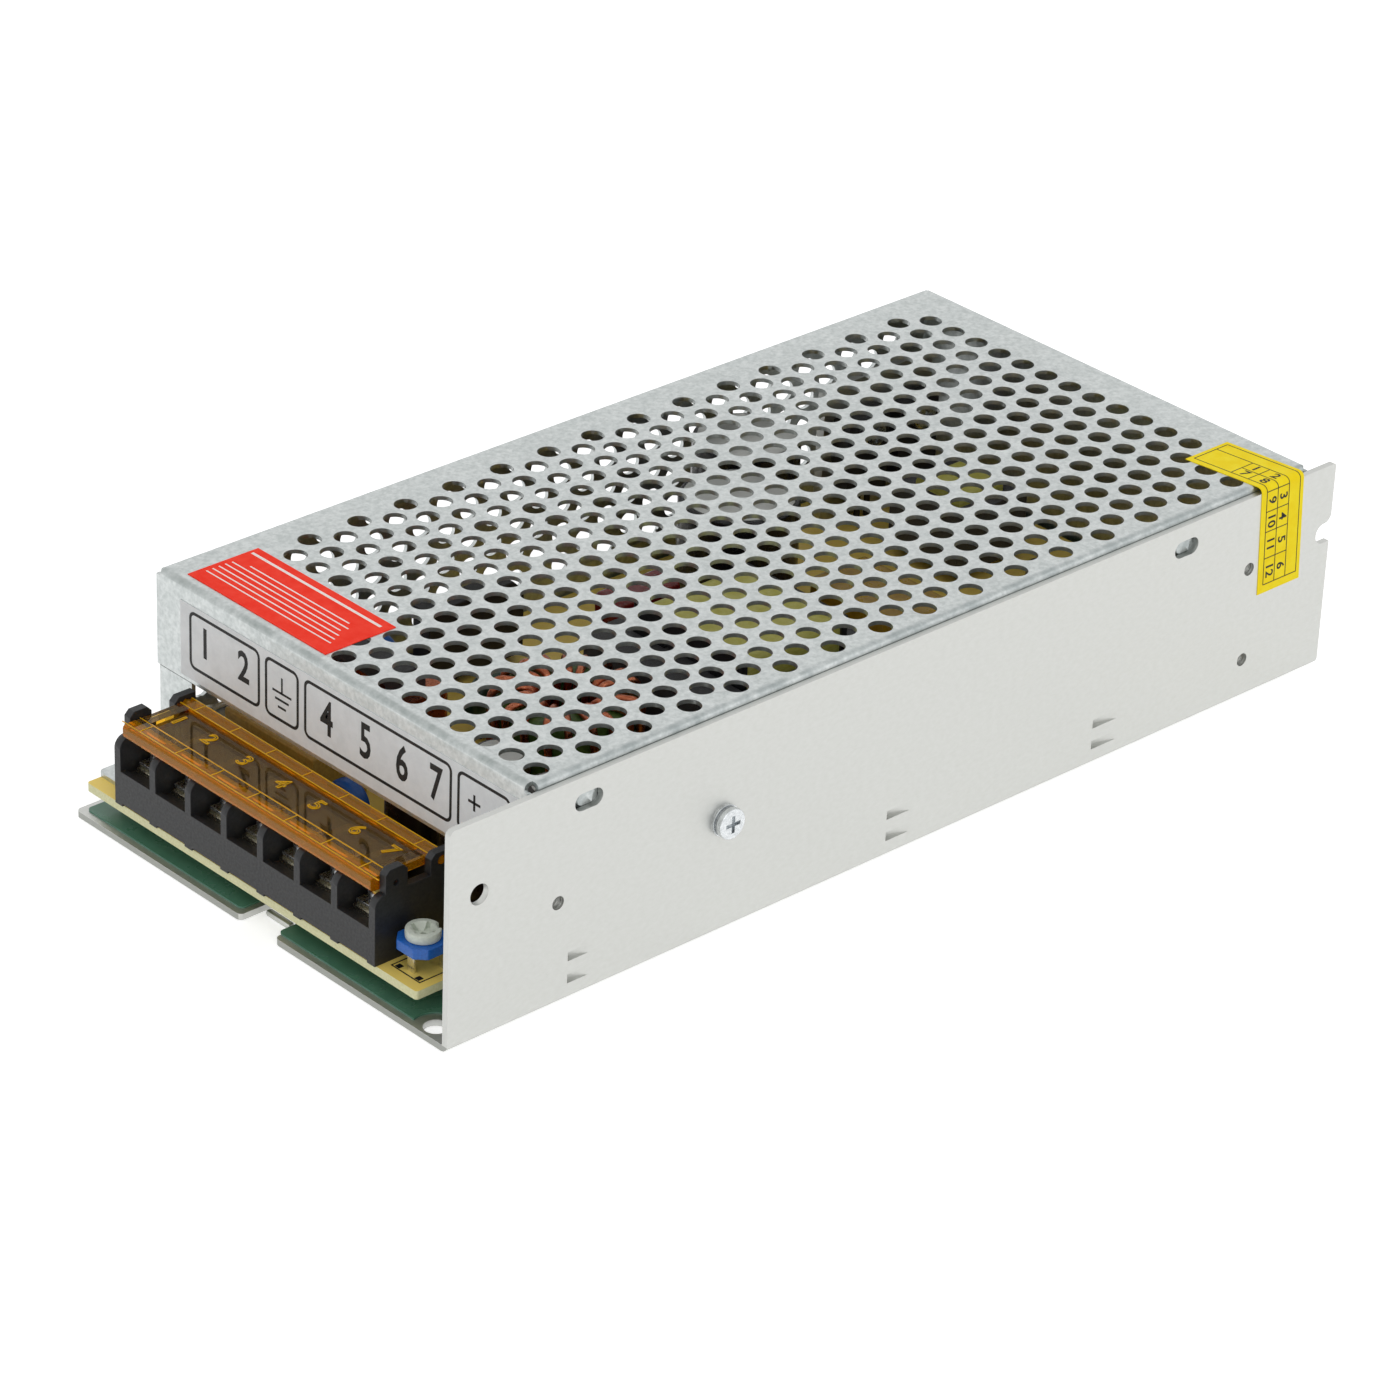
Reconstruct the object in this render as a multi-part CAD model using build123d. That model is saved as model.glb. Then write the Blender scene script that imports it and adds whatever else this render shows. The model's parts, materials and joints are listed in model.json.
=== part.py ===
from build123d import *
import os

# Enclosed switch-mode power supply for LED strips, in millimetres.
# Pieces are drawn from the chassis's front near corner at floor level: x runs back from the terminal
# end, y runs across from the chassis's side wall, z runs up. Each is moved to the frame when it is
# written: the origin is the middle of the underside.

# Case
case_length = 208.0
case_width = 98.0
case_height = 42.0
chassis_sheet = 1.2
chassis_bend = 1.5
wall_drop = 1.0
wall_corner = 1.2
base_corner = 1.0
rear_corner = 0.6
tab_corner = 1.7
cover_sheet = 0.8
cover_bend = 1.0
cover_setback = 17.9
rear_tab = 6.3
sheet_gap = 0.1
near_flange_depth = 12.0
front_flange_depth = 18.3
end_return = 8.5
bottom_return = 7.0
return_setback = 5.0
seam = 0.1
lug_reach = 13.9
lug_corner = 1.3
lug_side_gap = 0.5
corner_relief = 1.6
boss_length = 4.2
boss_width = 2.2
boss_height = 0.6
boss_offset = 0.2
slit = (-3.2, -2.0)
slit_rise = 2.6

# Round perforation of the cover
hole_radius = 2.12
row_pitch = 5.51
hole_pitch = 6.026
group_rows = 8
group_step = 0.613
rear_plain = 7.0
top_side_plain = 6.75
top_first_row = 22.62
top_offset = 1.33
far_first_row = 26.54
far_top_plain = 7.42
far_low_plain = 11.0

# Mounting features of the chassis
notch_width = 9.1
notch_middle = 48.4
notch_depth = 6.4
notch_corner = 1.2
notch_tab_width = 6.6
notch_tab_gap = 0.2
corner_hole = (2.8, 6.0)
corner_hole_radius = 2.15
side_hole = (6.3, 27.4)
side_hole_radius = 1.9
rear_notch_width = 4.0
rear_notch_depth = 3.8
tapped_radius = 1.25
front_tapped_hole = (23.1, 19.4)
rear_tapped_holes = ((21.4, 26.5), (21.1, 8.1))
slot_length = 6.0
slot_width = 3.2
slot_drop = 5.6
front_slot = 29.2
rear_slot = 38.8
front_nub = (25.5, 29.9)
rear_nubs = ((110.3, 104.9), (59.8, 53.7))
nub_height = 1.7
nub_push = 1.5
nub_lift = 0.8

# Screws
m3_radius = 1.45
m3_bore = 1.5
m3_clearance = 1.7
m3_head_radius = 2.75
m3_head_height = 2.0
cross_width = 0.7
cross_reach = 1.6
cross_depth = 1.0
countersink_radius = 2.6
cover_screw_x = (60.0, 150.0)
cover_screw_inset = 3.5
flat_washer_radius = 2.9
flat_washer_height = 0.3
lock_washer_radius = 2.7
lock_washer_height = 0.6
lock_washer_slit = 0.4
wall_head_radius = 2.8
wall_head_height = 1.1

# Insulation film and circuit board
film_sheet = 0.3
film_inset = 1.3
film_overhang = 0.7
film_hole_radius = 4.0
film_corner = 1.0
film_return_gap = 0.5
board_height = 5.1
board_sheet = 1.6
board_front = 1.4
board_rear_gap = 3.2
board_near = 1.5
board_corner = 0.6
board_front_near = 9.3
board_step = 13.0
board_edge_gap = 0.6
standoff_radius = 3.0
screw_reach = 3.0
earth_x = 9.0
earth_inset = 5.5
middle_screw = (118.0, 12.0)
rear_screw = (13.5, 20.0)

# Terminal block
poles = 7
fin = 1.6
block_near = 19.3
block_far_gap = 9.9
block_front = 1.0
block_depth = 16.2
foot = 0.5
foot_width = 2.0
sill_height = 13.35
sill_depth = 1.2
floor_height = 12.4
back_wall = 1.6
fin_height = 19.5
fin_corner = 2.2
front_ear = (3.2, 7.8)
front_ear_height = 23.8
rear_ear_start = 12.7
rear_ear_height = 23.25
ear_chamfer = 0.9
snap_hole = (5.44, 21.0)
snap_hole_radius = 0.6

# Contacts, clamps and their screws
contact_span = (4.0, 15.2)
contact_sheet = 1.0
contact_side_gap = 0.4
tail = 1.2
tail_x = 11.6
tail_below = 1.2
clamp_span = (4.6, 12.2)
clamp_sheet = 0.9
clamp_side_gap = 0.5
clamp_head_gap = 0.7
clamp_screw_x = 8.4
clamp_screw_radius = 1.7
clamp_head_height = 2.2
clamp_screw_length = 4.9
screw_gap = 0.05
screw_well = 0.4

# Lid
lid_front = 1.5
lid_rear = 16.8
lid_end_gap = 0.2
lid_panel = (20.8, 21.7)
lid_rim_top = 22.3
lid_bar = 2.4
lid_bar_bottom = 19.7
lid_front_rim = 4.0
lid_rear_rim = 3.0
lid_side_rim = 2.6
lid_corner = 0.7
hinge_x = 15.1
hinge_z = 21.6
hinge_radius = 0.85
hinge_gap = 0.08

# Trimmer
trimmer_spot = (7.2, 14.6)
trimmer_size = 7.8
trimmer_chamfer = 1.8
trimmer_base = 10.0
trimmer_top = 12.4
rotor_radius = 3.0
rotor_top = 14.1
rotor_stub = 1.4
rotor_stub_depth = 1.5
rotor_gap = 0.06
rotor_slot = 0.8
rotor_short_slot = 1.6
rotor_slot_depth = 0.7
trimmer_pin = (0.5, 1.7)
trimmer_pin_inset = 1.55

# Power devices clamped to the wall
wall_screw_spot = (59.6, 21.45)
pad_sheet = 0.3
pad_half_length = 15.5
pad_low = 10.5
pad_drop = 1.0
device_offset = 9.0
device_width = 10.2
device_thickness = 4.5
device_chamfer = 0.6
device_span = (12.0, 28.0)
lead_width = 1.1
lead_sheet = 0.6
lead_pitch = 2.54
clamp_bar_sheet = 1.6
clamp_bar_half_height = 3.5
clamp_bar_inset = 1.0

# Main transformer
transformer_x = (76.0, 115.0)
transformer_y = (17.0, 54.0)
core_base = 14.5
core_thickness = 14.0
core_back = 7.0
core_leg = 4.5
centre_leg = 11.0
bobbin_wall = 0.8
flange_sheet = 1.2
winding_depth = 4.6
winding_corner = 3.0
winding_side_gap = 0.6
flange_rim = 0.4
bobbin_foot = 3.8
foot_inset = 1.0
coil_gap = 0.2

# Output choke, lying flat
choke_spot = (60.8, 41.0)
choke_outer = 12.0
choke_inner = 6.4
choke_height = 19.0
choke_wire = 1.5
choke_turns = 20
choke_corner = 1.0
choke_wire_gap = 0.05

# Capacitors: (x, y, radius, height)
bulk_cans = ((124.0, 66.5, 11.0, 28.0), (141.5, 83.3, 10.0, 28.0))
output_cans = ((27.0, 13.5, 5.0, 20.0), (27.0, 27.0, 5.0, 20.0), (27.0, 40.5, 5.0, 20.0),
               (39.5, 19.5, 5.0, 20.0), (39.5, 33.5, 5.0, 20.0))
control_cans = ((160.0, 30.0, 3.2, 11.0), (172.0, 36.0, 3.2, 11.0), (184.0, 24.0, 4.0, 12.0))
can_groove = 0.5
can_groove_span = (1.6, 2.6)
can_edge = 0.6
red_film_x = (87.0, 102.0)
red_film_y = (57.0, 64.0)
red_film_height = 22.0
mustard_film_x = (134.0, 148.0)
mustard_film_y = (34.0, 58.0)
mustard_film_height = 12.0
x_capacitor_x = (22.0, 34.0)
x_capacitor_y = (61.0, 85.0)
x_capacitor_height = 12.6
disc_spots = ((24.8, 55.0), (62.0, 91.5))
disc_radius = 4.6
disc_thickness = 3.4
disc_edge = 1.2
disc_stand = 1.2
disc_lead = 0.35

# Other parts on the board
fuse_x = (22.0, 41.0)
fuse_y = (92.2,)
fuse_height = 5.6
fuse_radius = 2.6
fuse_cap = 5.0
clip_sheet = 0.4
clip_inset = 0.5
clip_foot = 1.2
filter_x = (38.0, 58.0)
filter_y = (66.0, 86.0)
filter_core = 6.0
filter_base = 2.0
filter_height = 17.0
filter_window = (6.0, 4.5)
filter_coil = 3.0
filter_coil_gap = 0.3
coil_corner = 1.5
thermistor_spot = (66.0, 66.0)
thermistor_radius = 5.5
thermistor_thickness = 4.0
bridge_x = (66.0, 88.0)
bridge_y = (83.0, 87.5)
bridge_span = (1.5, 16.5)
bridge_corner = 2.5
bridge_lead = (0.5, 0.4)
sink_x = (166.0, 194.0)
sink_y = (88.0, 90.0)
sink_height = 28.0
sink_corner = 2.0
switch_spots = (173.5, 186.5)
switch_span = (6.0, 22.0)
switch_screw_drop = 3.0
driver_x = (168.0, 186.0)
driver_y = (54.0, 72.0)
driver_height = 14.5
driver_leg = 3.0
driver_stand = 2.0
driver_coil = 2.0
driver_gap = 0.3
chip_x = (150.0, 170.0)
chip_y = (12.0, 18.5)
chip_height = 3.6
chip_stand = 0.5
chip_leads = 8
chip_lead = 0.6
resistor_x = (121.0, 134.0)
resistor_rows = (14.0, 21.0, 28.0)
resistor_radius = 2.2
resistor_edge = 0.8

# Case length and width at which the places on the board above were read
layout_case = (208.0, 98.0)

# Labels
label_sheet = 0.12
red_label_x = (20.5, 35.7)
red_label_inset = (42.0, 5.3)
white_label_near = 3.0
white_label_inset = 6.7
white_label_drop = (17.5, 3.3)
yellow_label_inset = 21.9
yellow_label_width = 11.05
yellow_label_reach = 16.7
yellow_label_bottom = 20.4
yellow_top_skew = 0.12
yellow_side_skew = 0.06
joining = 1.0

# Places that follow from the sizes above
wall_height = case_height - wall_drop
cover_front = cover_setback
cover_rear = case_length - rear_tab
cover_near = chassis_sheet + sheet_gap
top_inner = case_height - cover_sheet
far_inner = case_width - cover_sheet
last_row = cover_rear - rear_plain
flange_low = case_height - front_flange_depth
slot_z = case_height - slot_drop
slots = (front_slot, case_length - rear_slot)
nub_spans = (front_nub,) + tuple((case_length - low, case_length - high) for low, high in rear_nubs)
tapped_holes = (front_tapped_hole,) + tuple((case_length - x, z) for x, z in rear_tapped_holes)
cover_screw_spots = [(x, case_width - cover_screw_inset) for x in cover_screw_x]
board_rear = cover_rear - board_rear_gap
board_top = board_height + board_sheet
board_far = far_inner - board_edge_gap
earth_spot = (earth_x, case_width - earth_inset)
board_spots = ((middle_screw[0] * case_length / layout_case[0], case_width - middle_screw[1]),
               (case_length - rear_screw[0], case_width - rear_screw[1]))
pole_pitch = (case_width - block_far_gap - fin - block_near) / poles
pole_gap = pole_pitch - fin
clamp_width = pole_gap - 2 * clamp_side_gap
clamp_head_radius = pole_gap / 2 - clamp_head_gap
block_far = block_near + poles * pole_pitch + fin
block_rear = block_front + block_depth
pole_middles = [block_near + fin / 2 + pole_pitch * (pole + 0.5) for pole in range(poles)]
contact_top = floor_height + contact_sheet
clamp_top = contact_top + clamp_sheet
transistor_near = chassis_sheet + pad_sheet
transistor_far = transistor_near + device_thickness
pad_high = case_height - near_flange_depth - pad_drop
screw_spots = (earth_spot,) + board_spots


def lengthwise(places):
    """Places along the board, spread with the case's length."""
    return tuple(place * case_length / layout_case[0] for place in places)


def crosswise(places):
    """Places across the board, spread with the case's width."""
    return tuple(place * case_width / layout_case[1] for place in places)


def spread(spot):
    """Spot on the board, spread with the case, with any sizes after it kept."""
    return lengthwise(spot[:1]) + crosswise(spot[1:2]) + tuple(spot[2:])


transformer_x, transformer_y = lengthwise(transformer_x), crosswise(transformer_y)
red_film_x, red_film_y = lengthwise(red_film_x), crosswise(red_film_y)
mustard_film_x, mustard_film_y = lengthwise(mustard_film_x), crosswise(mustard_film_y)
x_capacitor_x, x_capacitor_y = lengthwise(x_capacitor_x), crosswise(x_capacitor_y)
fuse_x, fuse_y = lengthwise(fuse_x), crosswise(fuse_y)[0]
filter_x, filter_y = lengthwise(filter_x), crosswise(filter_y)
bridge_x, bridge_y = lengthwise(bridge_x), crosswise(bridge_y)
sink_x, sink_y = lengthwise(sink_x), crosswise(sink_y)
driver_x, driver_y = lengthwise(driver_x), crosswise(driver_y)
chip_x, chip_y = lengthwise(chip_x), crosswise(chip_y)
resistor_x, resistor_rows = lengthwise(resistor_x), crosswise(resistor_rows)
switch_spots = lengthwise(switch_spots)
choke_spot, thermistor_spot = spread(choke_spot), spread(thermistor_spot)
bulk_cans = [spread(sizes) for sizes in bulk_cans]
output_cans = [spread(sizes) for sizes in output_cans]
control_cans = [spread(sizes) for sizes in control_cans]
disc_spots = [spread(spot) for spot in disc_spots]
core_middle = sum(transformer_y) / 2
bobbin_x = (transformer_x[0] + core_back, transformer_x[1] - core_back)


def block(x, y, z):
    """Box between three pairs of faces."""
    middle = [(low + high) / 2 for low, high in (x, y, z)]
    return Pos(*middle) * Box(x[1] - x[0], y[1] - y[0], z[1] - z[0])


def along_x(face, x):
    """Face drawn in y and z, drawn out along x."""
    return Pos(x[0], 0, 0) * extrude(Plane.YZ * face, x[1] - x[0], dir=(1, 0, 0))


def along_y(face, y):
    """Face drawn in x and z, drawn out along y."""
    return Pos(0, y[0], 0) * extrude(Plane.XZ * face, y[1] - y[0], dir=(0, 1, 0))


def along_z(face, z):
    """Face drawn in x and y, drawn out along z."""
    return Pos(0, 0, z[0]) * extrude(face, z[1] - z[0], dir=(0, 0, 1))


def rod(direction, spot, radius, span):
    """Round bar: spot gives its centre in the two other directions."""
    return direction(Pos(*spot) * Circle(radius), span)


def patch(low, high):
    """Rectangle between two corners."""
    return Pos((low[0] + high[0]) / 2, (low[1] + high[1]) / 2) * Rectangle(high[0] - low[0], high[1] - low[1])


def rounded(body, radius, *spots):
    """Round the edge of the body that passes through each spot."""
    return fillet([body.edges().sort_by_distance(Vector(*spot))[0] for spot in spots], radius)


def bent(points, sheet, bend):
    """Section of a folded sheet along its middle line, with the bend's outer radius."""
    return trace(FilletPolyline(*points, radius=bend - sheet / 2), sheet)


def perforated(low, high, holes):
    """Rectangle with round holes."""
    width, height = high[0] - low[0], high[1] - low[1]
    middle = Pos((low[0] + high[0]) / 2, (low[1] + high[1]) / 2)
    outer = middle * Wire.make_rect(width, height)
    return Face(outer, [Pos(*hole) * Wire.make_circle(hole_radius) for hole in holes])


def cross_recess(direction, spot, face, inward):
    """Cross slot of a screw head: inward is +1 or -1 along the screw's axis."""
    span = sorted((face - inward, face + inward * cross_depth))
    wide = Pos(*spot) * Rectangle(2 * cross_reach, cross_width)
    tall = Pos(*spot) * Rectangle(cross_width, 2 * cross_reach)
    return direction(wide, span) + direction(tall, span)


def pan_screw(direction, spot, seat, outward, length, radius=m3_radius, head=m3_head_radius,
              height=m3_head_height):
    """Pan-head screw: the head's seat, the side it stands out on, and the shank's length."""
    top = seat + outward * height
    body = rod(direction, spot, head, sorted((seat, top)))
    rim = [edge for edge in body.edges().filter_by(GeomType.CIRCLE)]
    body = fillet([max(rim, key=lambda edge: outward * along(direction, edge.center()))], height * 0.35)
    body += rod(direction, spot, radius, sorted((seat, seat - outward * length)))
    return body - cross_recess(direction, spot, top, -outward)


def along(direction, point):
    """Coordinate of a point in the given direction."""
    return {along_x: point.X, along_y: point.Y, along_z: point.Z}[direction]


def top_holes():
    """Rows across the cover, alternately one hole more and one less, in groups."""
    middle = case_width / 2 - top_offset
    across = int((case_width - 2 * top_side_plain) / hole_pitch) + 1
    for row in range(int((last_row - top_first_row) / row_pitch) + 1):
        x = top_first_row + row * row_pitch - (row // group_rows) * group_step
        holes = across - row % 2
        for hole in range(holes):
            yield x, middle + (hole - (holes - 1) / 2) * hole_pitch


def far_holes():
    """Columns down the far wall: each second one starts half a pitch higher."""
    for column in range(int((last_row - far_first_row) / row_pitch) + 1):
        high = case_height - far_top_plain + (column % 2) * hole_pitch / 2
        for hole in range(int((high - far_low_plain) / hole_pitch) + 1):
            yield far_first_row + column * row_pitch, high - hole * hole_pitch


def chassis():
    half = chassis_sheet / 2
    body = along_x(bent(((half, wall_height), (half, half), (case_width, half)), chassis_sheet, chassis_bend),
                   (0, case_length))
    body -= block((cover_rear, case_length + 1), (chassis_sheet, case_width + 1), (-1, chassis_sheet + 1))

    notch_low = notch_middle - notch_width / 2
    notch_high = notch_middle + notch_width / 2
    tab_low = notch_high - notch_tab_width
    through = (-1, chassis_sheet + 1)
    body -= block((-1, notch_depth), (notch_low, notch_high), through)
    body -= block((0, notch_depth + chassis_bend), (tab_low, notch_high), through)
    body -= rod(along_z, (notch_depth, notch_low + notch_corner), notch_corner, through)
    tab = ((notch_depth + chassis_bend + joining, half), (notch_depth + half, half),
           (notch_depth + half, board_height - notch_tab_gap))
    body += along_y(bent(tab, chassis_sheet, chassis_bend), (tab_low, notch_high))
    body = rounded(body, base_corner, (0, notch_low, half), (0, notch_high, half), (0, case_width, half))

    middle = side_hole[1]
    mouth = case_length - rear_notch_depth + rear_notch_width / 2
    low, high = middle - rear_notch_width / 2, middle + rear_notch_width / 2
    body -= rod(along_y, (mouth, middle), rear_notch_width / 2, (-1, chassis_sheet + 1))
    body -= block((mouth, case_length + 1), (-1, chassis_sheet + 1), (low, high))
    body = rounded(body, tab_corner, (case_length, half, high))
    body = rounded(body, wall_corner, (0, half, wall_height))
    body = rounded(body, rear_corner, (case_length, half, wall_height))

    body -= rod(along_z, corner_hole, corner_hole_radius, (-1, chassis_sheet + 1))
    body -= rod(along_y, side_hole, side_hole_radius, (-1, chassis_sheet + 1))
    body -= rod(along_y, wall_screw_spot, m3_clearance, (-1, chassis_sheet + 1))
    for spot in tapped_holes:
        body -= rod(along_y, spot, tapped_radius, (-1, chassis_sheet + 1))
    for x in slots:
        body -= along_y(Pos(x, slot_z) * SlotOverall(slot_length, slot_width), through)
    for spot in cover_screw_spots:
        body -= rod(along_z, spot, m3_clearance, (-1, chassis_sheet + 1))
        body -= Pos(*spot, half) * Cone(countersink_radius, m3_clearance, chassis_sheet)

    for span in nub_spans:
        for low in (board_height - sheet_gap - nub_height, board_top + nub_lift):
            height = (low, low + nub_height)
            body -= block(span, (-1, chassis_sheet + 1), height)
            start, end = span
            wedge = Polyline((start, nub_push), (start, nub_push + chassis_sheet), (end, chassis_sheet),
                             (end, 0), close=True)
            body += along_z(make_face(wedge), height)
    return body


def cover():
    half = cover_sheet / 2
    inset = cover_bend + joining
    front, rear = cover_front + cover_bend, cover_rear - cover_bend
    near, far = cover_near + cover_bend, case_width - cover_bend
    top = case_height - half
    wall = case_width - half
    floor = chassis_sheet + half
    side_low = chassis_sheet + cover_bend

    pieces = [along_z(perforated((front, near), (rear, far), top_holes()), (top_inner, case_height))]
    far_plate = perforated((front, side_low), (rear, case_height - cover_bend), far_holes())
    pieces.append(along_y(far_plate, (far_inner, case_width)))

    near_low = case_height - near_flange_depth
    near_edge = ((cover_near + inset, top), (cover_near + half, top), (cover_near + half, near_low))
    pieces.append(along_x(bent(near_edge, cover_sheet, cover_bend), (front, rear)))
    far_edge = ((case_width - inset, top), (wall, top), (wall, case_height - inset))
    pieces.append(along_x(bent(far_edge, cover_sheet, cover_bend), (front, rear)))
    far_foot = ((wall, chassis_sheet + inset), (wall, floor), (case_width - bottom_return, floor))
    foot_x = (front + return_setback, rear - return_setback)
    pieces.append(along_x(bent(far_foot, cover_sheet, cover_bend), foot_x))

    front_edge = ((cover_front + inset, top), (cover_front + half, top), (cover_front + half, flange_low))
    pieces.append(along_y(bent(front_edge, cover_sheet, cover_bend), (near, far)))
    pieces.append(block((cover_front, cover_front + cover_sheet), (cover_near, case_width),
                        (flange_low, case_height - cover_bend)))
    rear_low = chassis_sheet + sheet_gap
    rear_edge = ((cover_rear - inset, top), (cover_rear - half, top), (cover_rear - half, rear_low))
    pieces.append(along_y(bent(rear_edge, cover_sheet, cover_bend), (near, far)))
    pieces.append(block((cover_rear - cover_sheet, cover_rear), (cover_near, case_width),
                        (rear_low, case_height - cover_bend)))

    return_x = cover_front + half
    return_near = case_width - end_return - cover_bend
    lug_z = board_top + half
    corner = ((cover_front + inset, wall), (return_x, wall), (return_x, return_near))
    pieces.append(along_z(bent(corner, cover_sheet, cover_bend), (board_top + cover_bend, flange_low - seam)))
    tip = return_x - lug_reach
    lug = bent(((return_x, lug_z + inset), (return_x, lug_z), (tip, lug_z)), cover_sheet, cover_bend)
    tab = along_y(lug, (return_near, far))
    lug_far = case_width - lug_side_gap
    tab += block((tip, cover_front), (far - joining, lug_far), (board_top, board_top + cover_sheet))
    tab = rounded(tab, lug_corner, (tip, lug_far, lug_z), (tip, return_near, lug_z))
    tab -= rod(along_z, earth_spot, m3_clearance, (board_top - 1, board_top + 2))
    pieces.append(tab)
    for x in slots:
        boss = Pos(x + boss_offset, slot_z) * SlotOverall(boss_length, boss_width)
        pieces.append(along_y(boss, (cover_near - boss_height, cover_near + half)))

    body = pieces[0].fuse(*pieces[1:])
    for x in slots:
        slit_x, slit_z = (x + slit[0], x + slit[1]), (near_low - 1, slot_z + slit_rise)
        body -= block(slit_x, (0, cover_near + cover_sheet + 1), slit_z)
    body -= block((0, cover_front + corner_relief), (0, cover_near + corner_relief),
                  (case_height - corner_relief, case_height + 1))
    for spot in cover_screw_spots:
        body -= rod(along_z, spot, m3_bore, (chassis_sheet - 1, chassis_sheet + 2))
    return body


def insulation_film():
    low_x, high_x = film_inset, cover_rear - film_inset
    low_y, high_y = chassis_bend + film_overhang, case_width - film_inset
    flange_y = case_width - bottom_return - film_return_gap
    notch_low = notch_middle - notch_width / 2 + film_overhang
    notch_high = notch_middle + notch_width / 2 + film_inset
    notch_end = notch_depth + chassis_bend + film_return_gap
    points = ((low_x, low_y), (high_x, low_y), (high_x, flange_y), (cover_front, flange_y),
              (cover_front, high_y), (low_x, high_y), (low_x, notch_high), (notch_end, notch_high),
              (notch_end, notch_low), (low_x, notch_low))
    outline = make_face(FilletPolyline(*points, radius=film_corner, close=True))
    body = along_z(outline, (chassis_sheet, chassis_sheet + film_sheet))
    body -= rod(along_z, corner_hole, film_hole_radius, (0, chassis_sheet + 1))
    for spot in screw_spots:
        body -= rod(along_z, spot, standoff_radius + film_return_gap, (0, chassis_sheet + 1))
    return body


def circuit_board():
    points = ((board_front, board_front_near), (board_step, board_front_near), (board_step, board_near),
              (board_rear, board_near), (board_rear, board_far), (board_front, board_far))
    outline = make_face(FilletPolyline(*points, radius=board_corner, close=True))
    body = along_z(outline, (board_height, board_top))
    through = (board_height - 1, board_top + 1)
    for spot in screw_spots:
        body -= rod(along_z, spot, m3_clearance, through)
    for y in pole_middles:
        body -= rod(along_z, (tail_x, y), tail, through)
    return body


def terminal_block():
    base = (board_top + foot, floor_height)
    body = block((block_front, block_rear), (block_near, block_far), base)
    body += block((block_front, block_front + sill_depth), (block_near, block_far), (base[0], sill_height))
    body += block((block_rear - back_wall, block_rear), (block_near, block_far), (base[0], fin_height))

    fin_outline = FilletPolyline((block_front, base[0]), (block_front, fin_height), (block_rear, fin_height),
                                 (block_rear, base[0]), radius=(0, fin_corner, 0, 0), close=True)
    ear_low, ear_high = front_ear
    front_slope, rear_slope = front_ear_height - ear_chamfer, rear_ear_height - ear_chamfer
    end_points = ((block_front, base[0]), (block_front, fin_height), (ear_low, fin_height),
                  (ear_low, front_slope), (ear_low + ear_chamfer, front_ear_height),
                  (ear_high - ear_chamfer, front_ear_height), (ear_high, front_slope), (ear_high, fin_height),
                  (rear_ear_start, fin_height), (rear_ear_start, rear_slope),
                  (rear_ear_start + ear_chamfer, rear_ear_height), (block_rear, rear_ear_height),
                  (block_rear, base[0]))
    end_radii = (0, fin_corner - 0.1) + (0,) * (len(end_points) - 2)
    end_outline = FilletPolyline(*end_points, radius=end_radii, close=True)
    for index in range(poles + 1):
        y = block_near + index * pole_pitch
        at_end = index in (0, poles)
        body += along_y(make_face(end_outline if at_end else fin_outline), (y, y + fin))
        middle = y + fin / 2
        side = min(max(middle, block_near + foot_width / 2), block_far - foot_width / 2)
        foot_y = (side - foot_width / 2, side + foot_width / 2)
        body += block((block_front, block_rear), foot_y, (board_top, base[0]))
    for y in (block_near, block_far - fin):
        body -= rod(along_y, snap_hole, snap_hole_radius, (y - 1, y + fin + 1))
        body -= rod(along_y, (hinge_x, hinge_z), hinge_radius + hinge_gap, (y - 1, y + fin + 1))
    slot = tail / 2 + screw_gap * 2
    well = (clamp_top - clamp_screw_length - screw_well, floor_height + 1)
    for y in pole_middles:
        body -= block((tail_x - slot, tail_x + slot), (y - slot, y + slot), (board_top - 1, floor_height + 1))
        body -= rod(along_z, (clamp_screw_x, y), clamp_screw_radius + screw_well, well)
    return body


def terminal_contacts():
    pieces = []
    half = pole_gap / 2 - contact_side_gap
    bore = clamp_screw_radius + screw_gap
    for y in pole_middles:
        plate = block(contact_span, (y - half, y + half), (floor_height, contact_top))
        plate -= rod(along_z, (clamp_screw_x, y), bore, (floor_height - 1, contact_top + 1))
        plate += block((tail_x - tail / 2, tail_x + tail / 2), (y - tail / 2, y + tail / 2),
                       (board_height - tail_below, floor_height))
        pieces.append(plate)
    return pieces


def terminal_clamps():
    pieces = []
    bore = clamp_screw_radius + screw_gap
    for y in pole_middles:
        plate = block(clamp_span, (y - clamp_width / 2, y + clamp_width / 2), (contact_top, clamp_top))
        plate -= rod(along_z, (clamp_screw_x, y), bore, (contact_top - 1, clamp_top + 1))
        pieces.append(chamfer(plate.edges().filter_by(Axis.Y).group_by(Axis.Z)[0], clamp_sheet / 3))
    return pieces


def terminal_screws():
    return [pan_screw(along_z, (clamp_screw_x, y), clamp_top, 1, clamp_screw_length, clamp_screw_radius,
                      clamp_head_radius, clamp_head_height) for y in pole_middles]


def terminal_lid():
    ends = (block_near + fin + lid_end_gap, block_far - fin - lid_end_gap)
    body = block((lid_front, lid_rear), ends, (lid_panel[0], lid_rim_top))
    panel_x = (lid_front + lid_front_rim, lid_rear - lid_rear_rim)
    panel_y = (ends[0] + lid_side_rim, ends[1] - lid_side_rim)
    body -= block(panel_x, panel_y, (lid_panel[1], lid_rim_top + 1))
    body += block((lid_front, lid_front + lid_bar), ends, (lid_bar_bottom, lid_rim_top))
    middle = sum(ends) / 2
    body = rounded(body, lid_corner, (lid_front, middle, lid_rim_top), (lid_front, middle, lid_bar_bottom),
                   (lid_rear, middle, lid_rim_top))
    for low, high in ((block_near + lid_end_gap, ends[0] + 1), (ends[1] - 1, block_far - lid_end_gap)):
        body += rod(along_y, (hinge_x, hinge_z), hinge_radius, (low, high))
    return body


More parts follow.
